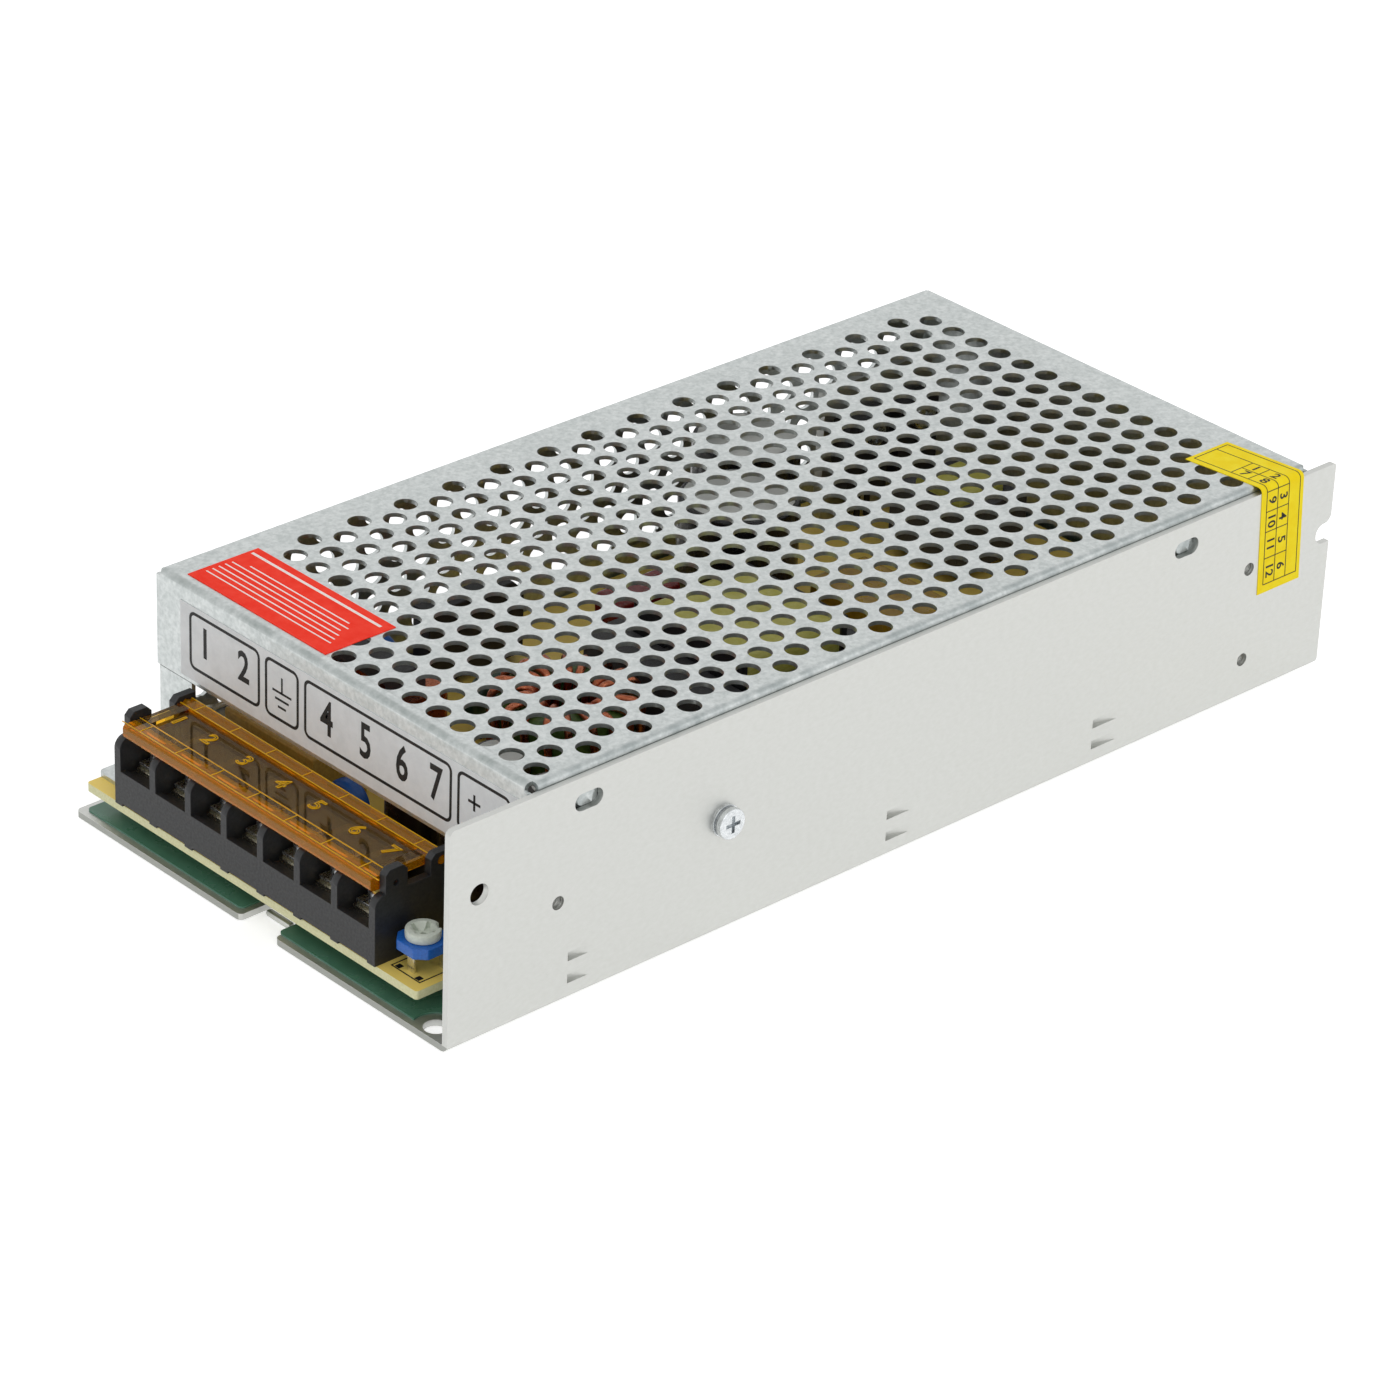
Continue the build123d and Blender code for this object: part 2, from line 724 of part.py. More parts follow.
def trimmer_body():
    body = along_z(Pos(*trimmer_spot) * Rectangle(trimmer_size, trimmer_size), (trimmer_base, trimmer_top))
    body = chamfer(body.edges().filter_by(Axis.Z), trimmer_chamfer)
    well = (trimmer_top - rotor_stub_depth - rotor_gap, trimmer_top + 1)
    return body - rod(along_z, trimmer_spot, rotor_stub + rotor_gap, well)


def trimmer_rotor():
    bottom = trimmer_top + rotor_gap
    body = rod(along_z, trimmer_spot, rotor_radius, (bottom, rotor_top))
    body += rod(along_z, trimmer_spot, rotor_stub, (trimmer_top - rotor_stub_depth, bottom))
    x, y = trimmer_spot
    cut = (rotor_top - rotor_slot_depth, rotor_top + 1)
    half = rotor_slot / 2
    body -= block((x - rotor_radius, x + rotor_radius), (y - half, y + half), cut)
    return body - block((x - half, x + half), (y - rotor_short_slot, y + rotor_short_slot), cut)


def trimmer_pins():
    x, y = trimmer_spot
    reach = trimmer_size / 2 - trimmer_pin_inset
    sheet, width = trimmer_pin[0] / 2, trimmer_pin[1] / 2
    spots = ((x - reach, y), (x + reach, y - reach), (x + reach, y + reach))
    height = (board_top, trimmer_base)
    return [block((px - sheet, px + sheet), (py - width, py + width), height) for px, py in spots]


def earth_screw():
    return pan_screw(along_z, earth_spot, board_top + cover_sheet, 1, board_sheet + cover_sheet + screw_reach)


def wall_screw():
    seat = -flat_washer_height - lock_washer_height
    return pan_screw(along_y, wall_screw_spot, seat, -1, transistor_far + clamp_bar_sheet - seat,
                     head=wall_head_radius, height=wall_head_height)


def flat_washer():
    ring = Circle(flat_washer_radius) - Circle(m3_clearance)
    return along_y(Pos(*wall_screw_spot) * ring, (-flat_washer_height, 0))


def lock_washer():
    ring = Circle(lock_washer_radius) - Circle(m3_clearance)
    ring -= Pos(lock_washer_radius, 0) * Rectangle(lock_washer_radius, lock_washer_slit)
    seat = -flat_washer_height
    return along_y(Pos(*wall_screw_spot) * ring, (seat - lock_washer_height, seat))


def thermal_pad():
    x = wall_screw_spot[0]
    pad_x = (x - pad_half_length, x + pad_half_length)
    body = block(pad_x, (chassis_sheet, transistor_near), (pad_low, pad_high))
    return body - rod(along_y, wall_screw_spot, m3_clearance, (0, transistor_near + 1))


def clamp_bar():
    x, z = wall_screw_spot
    half = pad_half_length - clamp_bar_inset
    far = transistor_far + clamp_bar_sheet
    bar_z = (z - clamp_bar_half_height, z + clamp_bar_half_height)
    body = block((x - half, x + half), (transistor_far, far), bar_z)
    return body - rod(along_y, wall_screw_spot, m3_bore, (transistor_far - 1, far + 1))


def power_device(x, near, span):
    """Flat three-lead package that stands on its leads."""
    half = device_width / 2
    body = block((x - half, x + half), (near, near + device_thickness), span)
    body = chamfer(body.faces().sort_by(Axis.Z)[-1].edges().filter_by(Axis.X), device_chamfer)
    middle = near + device_thickness / 2
    for lead in (-1, 0, 1):
        lead_x = x + lead * lead_pitch
        body += block((lead_x - lead_width / 2, lead_x + lead_width / 2),
                      (middle - lead_sheet / 2, middle + lead_sheet / 2), (board_top, span[0]))
    return body


def power_transistors():
    middle = wall_screw_spot[0]
    return [power_device(middle + side * device_offset, transistor_near, device_span) for side in (-1, 1)]


def transformer_core():
    top = core_base + core_thickness
    body = block(transformer_x, transformer_y, (core_base, top))
    leg = centre_leg / 2
    near, far = transformer_y
    windows = ((near + core_leg, core_middle - leg), (core_middle + leg, far - core_leg))
    for window in windows:
        body -= block(bobbin_x, window, (core_base - 1, top + 1))
    return body


def transformer_bobbin():
    gap = coil_gap
    leg_y = (core_middle - centre_leg / 2 - gap, core_middle + centre_leg / 2 + gap)
    leg_z = (core_base - gap, core_base + core_thickness + gap)
    tube_y = (leg_y[0] - bobbin_wall, leg_y[1] + bobbin_wall)
    tube_z = (leg_z[0] - bobbin_wall, leg_z[1] + bobbin_wall)
    flange_y = (transformer_y[0] + core_leg + gap, transformer_y[1] - core_leg - gap)
    rim = winding_depth + flange_rim
    flange_z = (tube_z[0] - rim, tube_z[1] + rim)
    x = (bobbin_x[0] + gap, bobbin_x[1] - gap)
    body = block(x, tube_y, tube_z)
    feet = (transformer_x[0] + foot_inset, transformer_x[1] - foot_inset)
    for low, high, foot_x in ((x[0], x[0] + flange_sheet, (feet[0], x[0] + flange_sheet)),
                              (x[1] - flange_sheet, x[1], (x[1] - flange_sheet, feet[1]))):
        body += block((low, high), flange_y, flange_z)
        body += block(foot_x, flange_y, (board_top, board_top + bobbin_foot))
    return body - block((x[0] - 1, x[1] + 1), leg_y, leg_z)


def transformer_winding():
    gap = coil_gap
    inner_y = centre_leg / 2 + gap + bobbin_wall
    inner_z = core_thickness / 2 + gap + bobbin_wall
    outer_y = transformer_y[1] - core_leg - gap - core_middle - winding_side_gap
    outer = RectangleRounded(2 * outer_y, 2 * (inner_z + winding_depth), winding_corner)
    ring = outer - Rectangle(2 * inner_y, 2 * inner_z)
    x = (bobbin_x[0] + gap + flange_sheet, bobbin_x[1] - gap - flange_sheet)
    return along_x(Pos(core_middle, core_base + core_thickness / 2) * ring, x)


def output_choke_core():
    base = board_top + choke_wire + choke_wire_gap
    ring = Circle(choke_outer) - Circle(choke_inner)
    body = along_z(Pos(*choke_spot) * ring, (base, base + choke_height))
    return fillet(body.edges().filter_by(GeomType.CIRCLE), choke_corner)


def output_choke_winding():
    base = board_top + choke_wire + choke_wire_gap
    width, height = choke_outer - choke_inner, choke_height
    gap = choke_wire_gap
    inside = (width + 2 * gap, height + 2 * gap)
    outside = [size + 2 * choke_wire for size in inside]
    turn = RectangleRounded(*outside, choke_corner + choke_wire) - RectangleRounded(*inside, choke_corner)
    middle = Pos((choke_outer + choke_inner) / 2, base + height / 2)
    loop = Pos(0, -choke_wire / 2, 0) * along_y(middle * turn, (0, choke_wire))
    return [Pos(*choke_spot, 0) * Rot(0, 0, 360 * index / choke_turns) * loop for index in range(choke_turns)]


def can(x, y, radius, height):
    """Electrolytic capacitor: a can with a crimp near its foot and a rounded rim."""
    top = board_top + height
    body = rod(along_z, (x, y), radius, (board_top, top))
    body = fillet(body.edges().filter_by(GeomType.CIRCLE).sort_by(Axis.Z)[-1], can_edge)
    span = [board_top + low for low in can_groove_span]
    groove = rod(along_z, (x, y), radius + 1, span)
    return body - (groove - rod(along_z, (x, y), radius - can_groove, span))


def bulk_capacitors():
    return [can(*sizes) for sizes in bulk_cans]


def output_capacitors():
    return [can(*sizes) for sizes in output_cans]


def control_capacitors():
    return [can(*sizes) for sizes in control_cans]


def boxed_capacitor(x, y, height, corner):
    body = block(x, y, (board_top, board_top + height))
    return fillet(body.edges().filter_by(Axis.Z) + body.faces().sort_by(Axis.Z)[-1].edges(), corner)


def disc_capacitors():
    pieces = []
    for x, y in disc_spots:
        middle = board_top + disc_stand + disc_radius
        disc = rod(along_x, (y, middle), disc_radius, (x - disc_thickness / 2, x + disc_thickness / 2))
        disc = fillet(disc.edges().filter_by(GeomType.CIRCLE), disc_edge)
        for side in (-1, 1):
            disc += rod(along_z, (x, y + side * lead_pitch), disc_lead, (board_top, middle))
        pieces.append(disc)
    return pieces


def fuse_body():
    middle = board_top + fuse_height
    return rod(along_x, (fuse_y, middle), fuse_radius, fuse_x)


def fuse_clips():
    pieces = []
    middle = board_top + fuse_height
    inner, outer = fuse_radius + screw_gap, fuse_radius + screw_gap + clip_sheet
    mouth = Pos(0, outer + 1) * Rectangle(2 * outer, 2 * outer - 1)
    ring = Pos(fuse_y, middle) * (Circle(outer) - Circle(inner) - mouth)
    foot = patch((fuse_y - clip_foot, board_top), (fuse_y + clip_foot, middle - inner - clip_sheet / 2))
    for low in (fuse_x[0] + clip_inset, fuse_x[1] - fuse_cap):
        pieces.append(along_x(ring + foot, (low, low + fuse_cap - clip_inset)))
    return pieces


def line_filter_core():
    middle = sum(filter_y) / 2
    z = (board_top + filter_base, board_top + filter_base + filter_height)
    x = sum(filter_x) / 2
    body = block((x - filter_core / 2, x + filter_core / 2), filter_y, z)
    across, window = filter_window
    height = (z[0] + z[1]) / 2
    return body - block((x - filter_core, x + filter_core), (middle - across, middle + across),
                        (height - window, height + window))


def line_filter_base():
    return block(filter_x, filter_y, (board_top, board_top + filter_base))


def line_filter_winding():
    middle = sum(filter_y) / 2
    x = sum(filter_x) / 2
    z = board_top + filter_base + filter_height / 2
    inner = filter_core / 2 + screw_gap
    pieces = []
    reach = (middle - filter_window[0] - filter_y[0]) / 2
    ring = RectangleRounded(2 * (inner + filter_coil), 2 * (reach + filter_coil), coil_corner)
    ring -= Rectangle(2 * inner, 2 * (reach + screw_gap))
    half = filter_window[1] - filter_coil_gap
    for y in (filter_y[0] + reach, filter_y[1] - reach):
        pieces.append(along_z(Pos(x, y) * ring, (z - half, z + half)))
    return pieces


def thermistor():
    x, y = thermistor_spot
    middle = board_top + disc_stand + thermistor_radius
    half = thermistor_thickness / 2
    disc = rod(along_y, (x, middle), thermistor_radius, (y - half, y + half))
    disc = fillet(disc.edges().filter_by(GeomType.CIRCLE), disc_edge)
    for side in (-1, 1):
        disc += rod(along_z, (x + side * lead_pitch, y), disc_lead, (board_top, middle))
    return disc


def bridge_rectifier():
    low, high = board_top + bridge_span[0], board_top + bridge_span[1]
    body = block(bridge_x, bridge_y, (low, high))
    body = chamfer(body.edges().filter_by(Axis.Y).sort_by(Axis.Z)[-1:], bridge_corner)
    y = sum(bridge_y) / 2
    leads = 4
    step = (bridge_x[1] - bridge_x[0]) / leads
    half_x, half_y = bridge_lead
    for index in range(leads):
        x = bridge_x[0] + step * (index + 0.5)
        body += block((x - half_x, x + half_x), (y - half_y, y + half_y), (board_top, low))
    return body


def heatsink():
    body = block(sink_x, sink_y, (board_top, board_top + sink_height))
    for x in switch_spots:
        spot = (x, board_top + switch_span[1] - switch_screw_drop)
        body -= rod(along_y, spot, m3_bore, (sink_y[0] - 1, sink_y[1] + 1))
    top = board_top + sink_height
    return rounded(body, sink_corner, (sink_x[0], sum(sink_y) / 2, top), (sink_x[1], sum(sink_y) / 2, top))


def switching_transistors():
    near = sink_y[0] - device_thickness
    span = (board_top + switch_span[0], board_top + switch_span[1])
    pieces = []
    for x in switch_spots:
        hole = rod(along_y, (x, span[1] - switch_screw_drop), m3_clearance, (near - 1, sink_y[0] + 1))
        pieces.append(power_device(x, near, span) - hole)
    return pieces


def heatsink_screws():
    near = sink_y[0] - device_thickness
    height = board_top + switch_span[1] - switch_screw_drop
    return [pan_screw(along_y, (x, height), near, -1, sink_y[1] - near) for x in switch_spots]


def driver_core():
    low, high = board_top + driver_stand, board_top + driver_height
    body = block(driver_x, driver_y, (low, high))
    middle = sum(driver_y) / 2
    leg = driver_leg
    for side in (-1, 1):
        window = sorted((middle + side * leg, middle + side * (driver_y[1] - middle - leg)))
        body -= block((driver_x[0] + leg, driver_x[1] - leg), window, (low - 1, high + 1))
    return body


def driver_winding():
    middle = sum(driver_y) / 2
    leg = driver_leg
    half = (driver_height - driver_stand) / 2
    inner_y, inner_z = leg + screw_gap, half + screw_gap
    outer_y = driver_y[1] - middle - leg - driver_gap
    ring = RectangleRounded(2 * outer_y, 2 * (half + driver_coil), coil_corner)
    ring -= Rectangle(2 * inner_y, 2 * inner_z)
    z = board_top + driver_stand + half
    return along_x(Pos(middle, z) * ring, (driver_x[0] + leg + driver_gap, driver_x[1] - leg - driver_gap))


def controller_chip():
    low = board_top + chip_stand
    body = block(chip_x, chip_y, (low, low + chip_height))
    pitch = (chip_x[1] - chip_x[0]) / chip_leads
    for index in range(chip_leads):
        x = chip_x[0] + pitch * (index + 0.5)
        for y, side in ((chip_y[0], -1), (chip_y[1], 1)):
            body += block((x - chip_lead / 2, x + chip_lead / 2), sorted((y, y + side * chip_lead)),
                          (board_top, low + chip_height / 2))
    return body


def power_resistors():
    pieces = []
    for y in resistor_rows:
        body = rod(along_x, (y, board_top + resistor_radius), resistor_radius, resistor_x)
        pieces.append(fillet(body.edges().filter_by(GeomType.CIRCLE), resistor_edge))
    return pieces


def board_standoffs():
    pieces = []
    for spot in screw_spots:
        body = rod(along_z, spot, standoff_radius, (chassis_sheet, board_height))
        pieces.append(body - rod(along_z, spot, m3_bore, (0, board_height + 1)))
    return pieces


def board_screws():
    return [pan_screw(along_z, spot, board_top, 1, board_sheet + screw_reach) for spot in board_spots]


def cover_screws():
    pieces = []
    for spot in cover_screw_spots:
        body = Pos(*spot, chassis_sheet / 2) * Cone(countersink_radius, m3_radius, chassis_sheet)
        body += rod(along_z, spot, m3_radius, (chassis_sheet, chassis_sheet + cover_sheet + 1.0))
        pieces.append(body - cross_recess(along_z, spot, 0, 1))
    return pieces


def front_label():
    y = [case_width - inset for inset in red_label_inset]
    return block(red_label_x, y, (case_height, case_height + label_sheet))


def terminal_label():
    z = [case_height - drop for drop in white_label_drop]
    y = (white_label_near, case_width - white_label_inset)
    return block((cover_front - label_sheet, cover_front), y, z)


def inspection_label():
    sheet, width = label_sheet, yellow_label_width
    fold = cover_near + cover_bend
    end = case_length - yellow_label_inset
    start = end + (yellow_label_reach - fold) * yellow_top_skew
    edge = start + fold * yellow_top_skew
    foot = edge + (wall_height - yellow_label_bottom) * yellow_side_skew
    top = Polyline((end, yellow_label_reach), (end + width, yellow_label_reach),
                   (start + width, fold), (start, fold), close=True)
    side = Polyline((edge, wall_height), (edge + width, wall_height), (foot + width, yellow_label_bottom),
                    (foot, yellow_label_bottom), close=True)
    over = Polyline((fold, case_height), (fold, case_height + sheet), (cover_near, case_height + sheet),
                    (-sheet, wall_height), (0, wall_height), (cover_near, case_height), close=True)
    body = along_z(make_face(top), (case_height, case_height + sheet))
    body += along_y(make_face(side), (-sheet, 0))
    return body + along_x(make_face(over), (start, edge + width))


def pieces():
    """Every piece by name."""
    return {
        "chassis": chassis(),
        "cover": cover(),
        "insulation_film": insulation_film(),
        "circuit_board": circuit_board(),
        "terminal_block": terminal_block(),
        "terminal_lid": terminal_lid(),
        "terminal_contacts": terminal_contacts(),
        "terminal_clamps": terminal_clamps(),
        "terminal_screws": terminal_screws(),
        "trimmer_body": trimmer_body(),
        "trimmer_rotor": trimmer_rotor(),
        "trimmer_pins": trimmer_pins(),
        "earth_screw": earth_screw(),
        "wall_screw": wall_screw(),
        "flat_washer": flat_washer(),
        "lock_washer": lock_washer(),
        "thermal_pad": thermal_pad(),
        "clamp_bar": clamp_bar(),
        "power_transistors": power_transistors(),
        "transformer_core": transformer_core(),
        "transformer_bobbin": transformer_bobbin(),
        "transformer_winding": transformer_winding(),
        "output_choke_core": output_choke_core(),
        "output_choke_winding": output_choke_winding(),
        "bulk_capacitors": bulk_capacitors(),
        "output_capacitors": output_capacitors(),
        "control_capacitors": control_capacitors(),
        "red_film_capacitor": boxed_capacitor(red_film_x, red_film_y, red_film_height, 1.2),
        "mustard_film_capacitor": boxed_capacitor(mustard_film_x, mustard_film_y, mustard_film_height, 1.0),
        "x_capacitor": boxed_capacitor(x_capacitor_x, x_capacitor_y, x_capacitor_height, 0.5),
        "disc_capacitors": disc_capacitors(),
        "fuse": fuse_body(),
        "fuse_clips": fuse_clips(),
        "line_filter_core": line_filter_core(),
        "line_filter_base": line_filter_base(),
        "line_filter_winding": line_filter_winding(),
        "thermistor": thermistor(),
        "bridge_rectifier": bridge_rectifier(),
        "heatsink": heatsink(),
        "switching_transistors": switching_transistors(),
        "heatsink_screws": heatsink_screws(),
        "driver_core": driver_core(),
        "driver_winding": driver_winding(),
        "controller_chip": controller_chip(),
        "power_resistors": power_resistors(),
        "board_standoffs": board_standoffs(),
        "board_screws": board_screws(),
        "cover_screws": cover_screws(),
        "front_label": front_label(),
        "terminal_label": terminal_label(),
        "inspection_label": inspection_label(),
    }


def main():
    os.makedirs("parts", exist_ok=True)
    to_frame = Pos(-case_length / 2, -case_width / 2, 0)
    for name, shape in pieces().items():
        solids = shape if isinstance(shape, list) else [shape]
        moved = [to_frame * solid for solid in solids]
        export_step(moved[0] if len(moved) == 1 else Compound(children=moved), f"parts/{name}.step")


main()
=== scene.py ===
import json
import math

import bpy
from mathutils import Matrix, Vector

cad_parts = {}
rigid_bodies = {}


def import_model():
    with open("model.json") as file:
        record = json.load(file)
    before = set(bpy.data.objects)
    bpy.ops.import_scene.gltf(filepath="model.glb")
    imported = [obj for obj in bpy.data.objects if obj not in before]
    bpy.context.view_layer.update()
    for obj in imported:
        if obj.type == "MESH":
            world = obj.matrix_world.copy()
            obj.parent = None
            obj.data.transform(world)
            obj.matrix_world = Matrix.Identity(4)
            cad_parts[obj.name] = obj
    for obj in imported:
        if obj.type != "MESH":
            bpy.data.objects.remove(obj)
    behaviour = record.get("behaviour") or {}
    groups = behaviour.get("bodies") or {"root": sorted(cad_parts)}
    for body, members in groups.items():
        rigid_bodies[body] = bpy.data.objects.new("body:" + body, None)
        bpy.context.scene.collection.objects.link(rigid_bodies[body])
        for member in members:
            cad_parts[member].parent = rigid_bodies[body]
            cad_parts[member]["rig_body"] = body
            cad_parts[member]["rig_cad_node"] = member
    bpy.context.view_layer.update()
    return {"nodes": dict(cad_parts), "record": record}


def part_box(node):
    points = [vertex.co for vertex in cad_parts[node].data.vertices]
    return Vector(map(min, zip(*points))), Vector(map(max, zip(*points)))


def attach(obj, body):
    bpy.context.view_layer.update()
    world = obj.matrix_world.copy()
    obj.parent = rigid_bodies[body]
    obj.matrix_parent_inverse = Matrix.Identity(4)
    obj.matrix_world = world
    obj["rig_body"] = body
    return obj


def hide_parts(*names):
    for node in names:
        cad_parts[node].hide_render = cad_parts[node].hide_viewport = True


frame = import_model()
bpy.ops.object.select_all(action="DESELECT")

# Sizes are written in millimetres from the chassis's front near corner, as on the drawing: x runs back
# from the terminal end, y runs across from the side wall, z runs up.
MM = 0.001
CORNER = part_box("chassis")[0]
CASE_TOP = 42.0
WALL_TOP = 41.0
COVER_FRONT = 17.9
BOARD_TOP = 6.7
PRINT_SHEET = 0.03
SLOTS = {part["node"]: part["material_slot"] for part in frame["record"]["subparts"]}


def place(x, y, z):
    """Point of the drawing in metres."""
    return CORNER + Vector((x, y, z)) * MM


def deselect():
    """Leave edit mode and select nothing."""
    if bpy.context.object and bpy.context.object.mode == "EDIT":
        bpy.ops.object.mode_set(mode="OBJECT")
    bpy.ops.object.select_all(action="DESELECT")


def pick(*pieces):
    """Select these pieces, the first one active."""
    deselect()
    for piece in pieces:
        piece.select_set(True)
    bpy.context.view_layer.objects.active = pieces[0]


# Colours and materials


def linear(code):
    """sRGB hex colour as linear RGBA."""
    parts = [int(code[start:start + 2], 16) / 255 for start in (1, 3, 5)]
    return [part / 12.92 if part <= 0.04045 else ((part + 0.055) / 1.055) ** 2.4 for part in parts] + [1.0]


def add(tree, kind, settings=None, sockets=None):
    """Add a shader node with its properties, and its sockets set or linked."""
    made = tree.nodes.new(kind)
    for key, value in (settings or {}).items():
        setattr(made, key, value)
    for key, value in (sockets or {}).items():
        if isinstance(value, bpy.types.NodeSocket):
            tree.links.new(value, made.inputs[key])
        else:
            made.inputs[key].default_value = value
    return made


def maths(tree, operation, first, second=None):
    """Socket with the result of an operation on one or two sockets or values."""
    sockets = {0: first} if second is None else {0: first, 1: second}
    return add(tree, "ShaderNodeMath", {"operation": operation}, sockets).outputs[0]


def ranged(tree, value, **ends):
    """Socket with a value carried from one range to another: From_Min, From_Max, To_Min and To_Max."""
    sockets = {key.replace("_", " "): end for key, end in ends.items()}
    return add(tree, "ShaderNodeMapRange", None, {"Value": value, **sockets}).outputs[0]


def object_spot(tree):
    """Socket with the shaded point in the object's coordinates."""
    return add(tree, "ShaderNodeTexCoord").outputs["Object"]


def split(tree, vector):
    """Sockets with the x, y and z of a vector."""
    return add(tree, "ShaderNodeSeparateXYZ", None, {0: vector}).outputs


def finish(name, **sockets):
    """New material with its principled shader set up."""
    made = bpy.data.materials.new(name)
    made.use_nodes = True
    shader = made.node_tree.nodes["Principled BSDF"]
    for key, value in sockets.items():
        shader.inputs[key.replace("_", " ")].default_value = value
    return made


def grained(material, dark, light, grain, rough, depth=0.0, stretch=(1, 1, 1), contrast=(0.35, 0.65)):
    """Cloudy grain of a real size in mm, in colour, roughness and height."""
    tree = material.node_tree
    shader = tree.nodes["Principled BSDF"]
    drawn = add(tree, "ShaderNodeMapping", None, {"Vector": object_spot(tree), "Scale": stretch})
    noise = add(tree, "ShaderNodeTexNoise", None,
                {"Vector": drawn.outputs[0], "Scale": 1 / (grain * MM), "Detail": 4.0, "Roughness": 0.6})
    low, high = contrast
    spread = ranged(tree, noise.outputs[0], From_Min=low, From_Max=high)
    mix = add(tree, "ShaderNodeMix", {"data_type": "RGBA"}, {0: spread, 6: linear(dark), 7: linear(light)})
    tree.links.new(mix.outputs[2], shader.inputs["Base Color"])
    matt = ranged(tree, noise.outputs[0], From_Min=low, From_Max=high, To_Min=rough[1], To_Max=rough[0])
    tree.links.new(matt, shader.inputs["Roughness"])
    if depth:
        bump = add(tree, "ShaderNodeBump", None,
                   {"Height": noise.outputs[0], "Distance": depth * MM, "Strength": 1.0})
        tree.links.new(bump.outputs[0], shader.inputs["Normal"])
    return material


def overlay(material, mask, colour):
    """Lay a second colour over a material's colour where the mask is 1."""
    tree = material.node_tree
    shader = tree.nodes["Principled BSDF"]
    under = shader.inputs["Base Color"].links[0].from_socket
    mix = add(tree, "ShaderNodeMix", {"data_type": "RGBA"}, {0: mask, 6: under, 7: linear(colour)})
    tree.links.new(mix.outputs[2], shader.inputs["Base Color"])
    return material


# Rolled aluminium sheet, washed after pressing: a soft satin white metal with faint lengthwise rolling lines
aluminium = grained(finish("rolled_aluminium_sheet", Metallic=1.0), "#c6c7c3", "#cbccc9", 0.7, (0.40, 0.46),
                    0.002, (0.5, 1, 1), (0.25, 0.75))

# The base's sheared front edge is greyer than its face
SHEARED_DEEP = 0.1
SHEARED_HIGH = 1.15
sheet_tree = aluminium.node_tree
sheet_spot = split(sheet_tree, object_spot(sheet_tree))
sheared_front = maths(sheet_tree, "LESS_THAN", sheet_spot[0], CORNER.x + SHEARED_DEEP * MM)
sheared_low = maths(sheet_tree, "LESS_THAN", sheet_spot[2], SHEARED_HIGH * MM)
overlay(aluminium, maths(sheet_tree, "MULTIPLY", sheared_front, sheared_low), "#a0a29d")

# Hot-dip galvanised steel sheet: a cooler grey than the aluminium, with faint zinc flowers a few mm wide
FLOWER_SIZE = 2.6
galvanised = grained(finish("galvanised_steel_sheet", Metallic=1.0), "#bcc1c0", "#cfd3d2", 0.9, (0.34, 0.46),
                     0.004)
cover_tree = galvanised.node_tree
cover_spot = object_spot(cover_tree)
flower = add(cover_tree, "ShaderNodeTexVoronoi", {"feature": "F1"},
             {"Vector": cover_spot, "Scale": 1 / (FLOWER_SIZE * MM)})
flower_tone = add(cover_tree, "ShaderNodeSeparateColor", None, {0: flower.outputs["Color"]})
flower_mask = ranged(cover_tree, flower_tone.outputs[0], From_Min=0.3, From_Max=1.0, To_Max=0.16)
overlay(galvanised, flower_mask, "#9aa3a2")

# Painted shade: darker bands, broken up by noise, along the front fold and along the near edge of the top,
# where the bends turn from the light
FOLD_AT = 18.6
FOLD_FADE, FOLD_FULL = 0.9, 0.35
FOLD_LOW = 41.3
EDGE_FADE, EDGE_FULL = 3.0, 2.2
SHADE_STREAK_SIZE = 4.0
cover_x, cover_y, cover_z = split(cover_tree, cover_spot)
shade_streaks = add(cover_tree, "ShaderNodeTexNoise", None,
              {"Vector": cover_spot, "Scale": 1 / (SHADE_STREAK_SIZE * MM), "Detail": 3.0})
shade_streaks = ranged(cover_tree, shade_streaks.outputs[0], From_Min=0.3, From_Max=0.7, To_Min=0.1, To_Max=0.6)
from_fold = maths(cover_tree, "ABSOLUTE", maths(cover_tree, "SUBTRACT", cover_x, CORNER.x + FOLD_AT * MM))
fold_band = ranged(cover_tree, from_fold, From_Min=FOLD_FADE * MM, From_Max=FOLD_FULL * MM)
fold_high = maths(cover_tree, "GREATER_THAN", cover_z, FOLD_LOW * MM)
painted_fold_shade = maths(cover_tree, "MULTIPLY", fold_band, fold_high)
# Painted shade along the front fold
overlay(galvanised, maths(cover_tree, "MULTIPLY", painted_fold_shade, shade_streaks), "#7d8683")
# Painted shade along the near edge of the top
painted_edge_shade = ranged(cover_tree, cover_y, From_Min=CORNER.y + EDGE_FADE * MM,
                   From_Max=CORNER.y + EDGE_FULL * MM)
overlay(galvanised, maths(cover_tree, "MULTIPLY", painted_edge_shade, shade_streaks), "#747f80")

# Polypropylene insulation film: dark green, smooth and glossy
film = grained(finish("green_insulation_film", IOR=1.49), "#467560", "#51806c", 6.0, (0.24, 0.34), 0.004)

# Composite circuit-board laminate: cream at its sawn edge, yellow on its upper face
FACES_UP = 0.6
laminate = grained(finish("cream_laminate", IOR=1.5), "#dcdaa8", "#e8e6bb", 0.5, (0.45, 0.6), 0.01)
board_tree = laminate.node_tree
board_side = split(board_tree, add(board_tree, "ShaderNodeNewGeometry").outputs["Normal"])
overlay(laminate, maths(board_tree, "GREATER_THAN", board_side[2], FACES_UP), "#fbdc70")

# Glass-filled PBT moulding: black with a slight sheen
black_moulding = grained(finish("black_pbt_moulding", IOR=1.5), "#17181a", "#202123", 0.5, (0.42, 0.55),
                         0.005)

# Clear amber polycarbonate: the thin plate is nearly clear, and the front bar, rear band and near end go
# gold, partly from the deeper colour of thicker plastic and partly as painted light, a cloudy gold glow
# standing in for light carried along inside them
AMBER_DEPTH = ("#f8e400", 1000.0)
AMBER_BAR_END = 4.2
AMBER_BAND_START = 13.6
AMBER_END_WIDE = 2.2


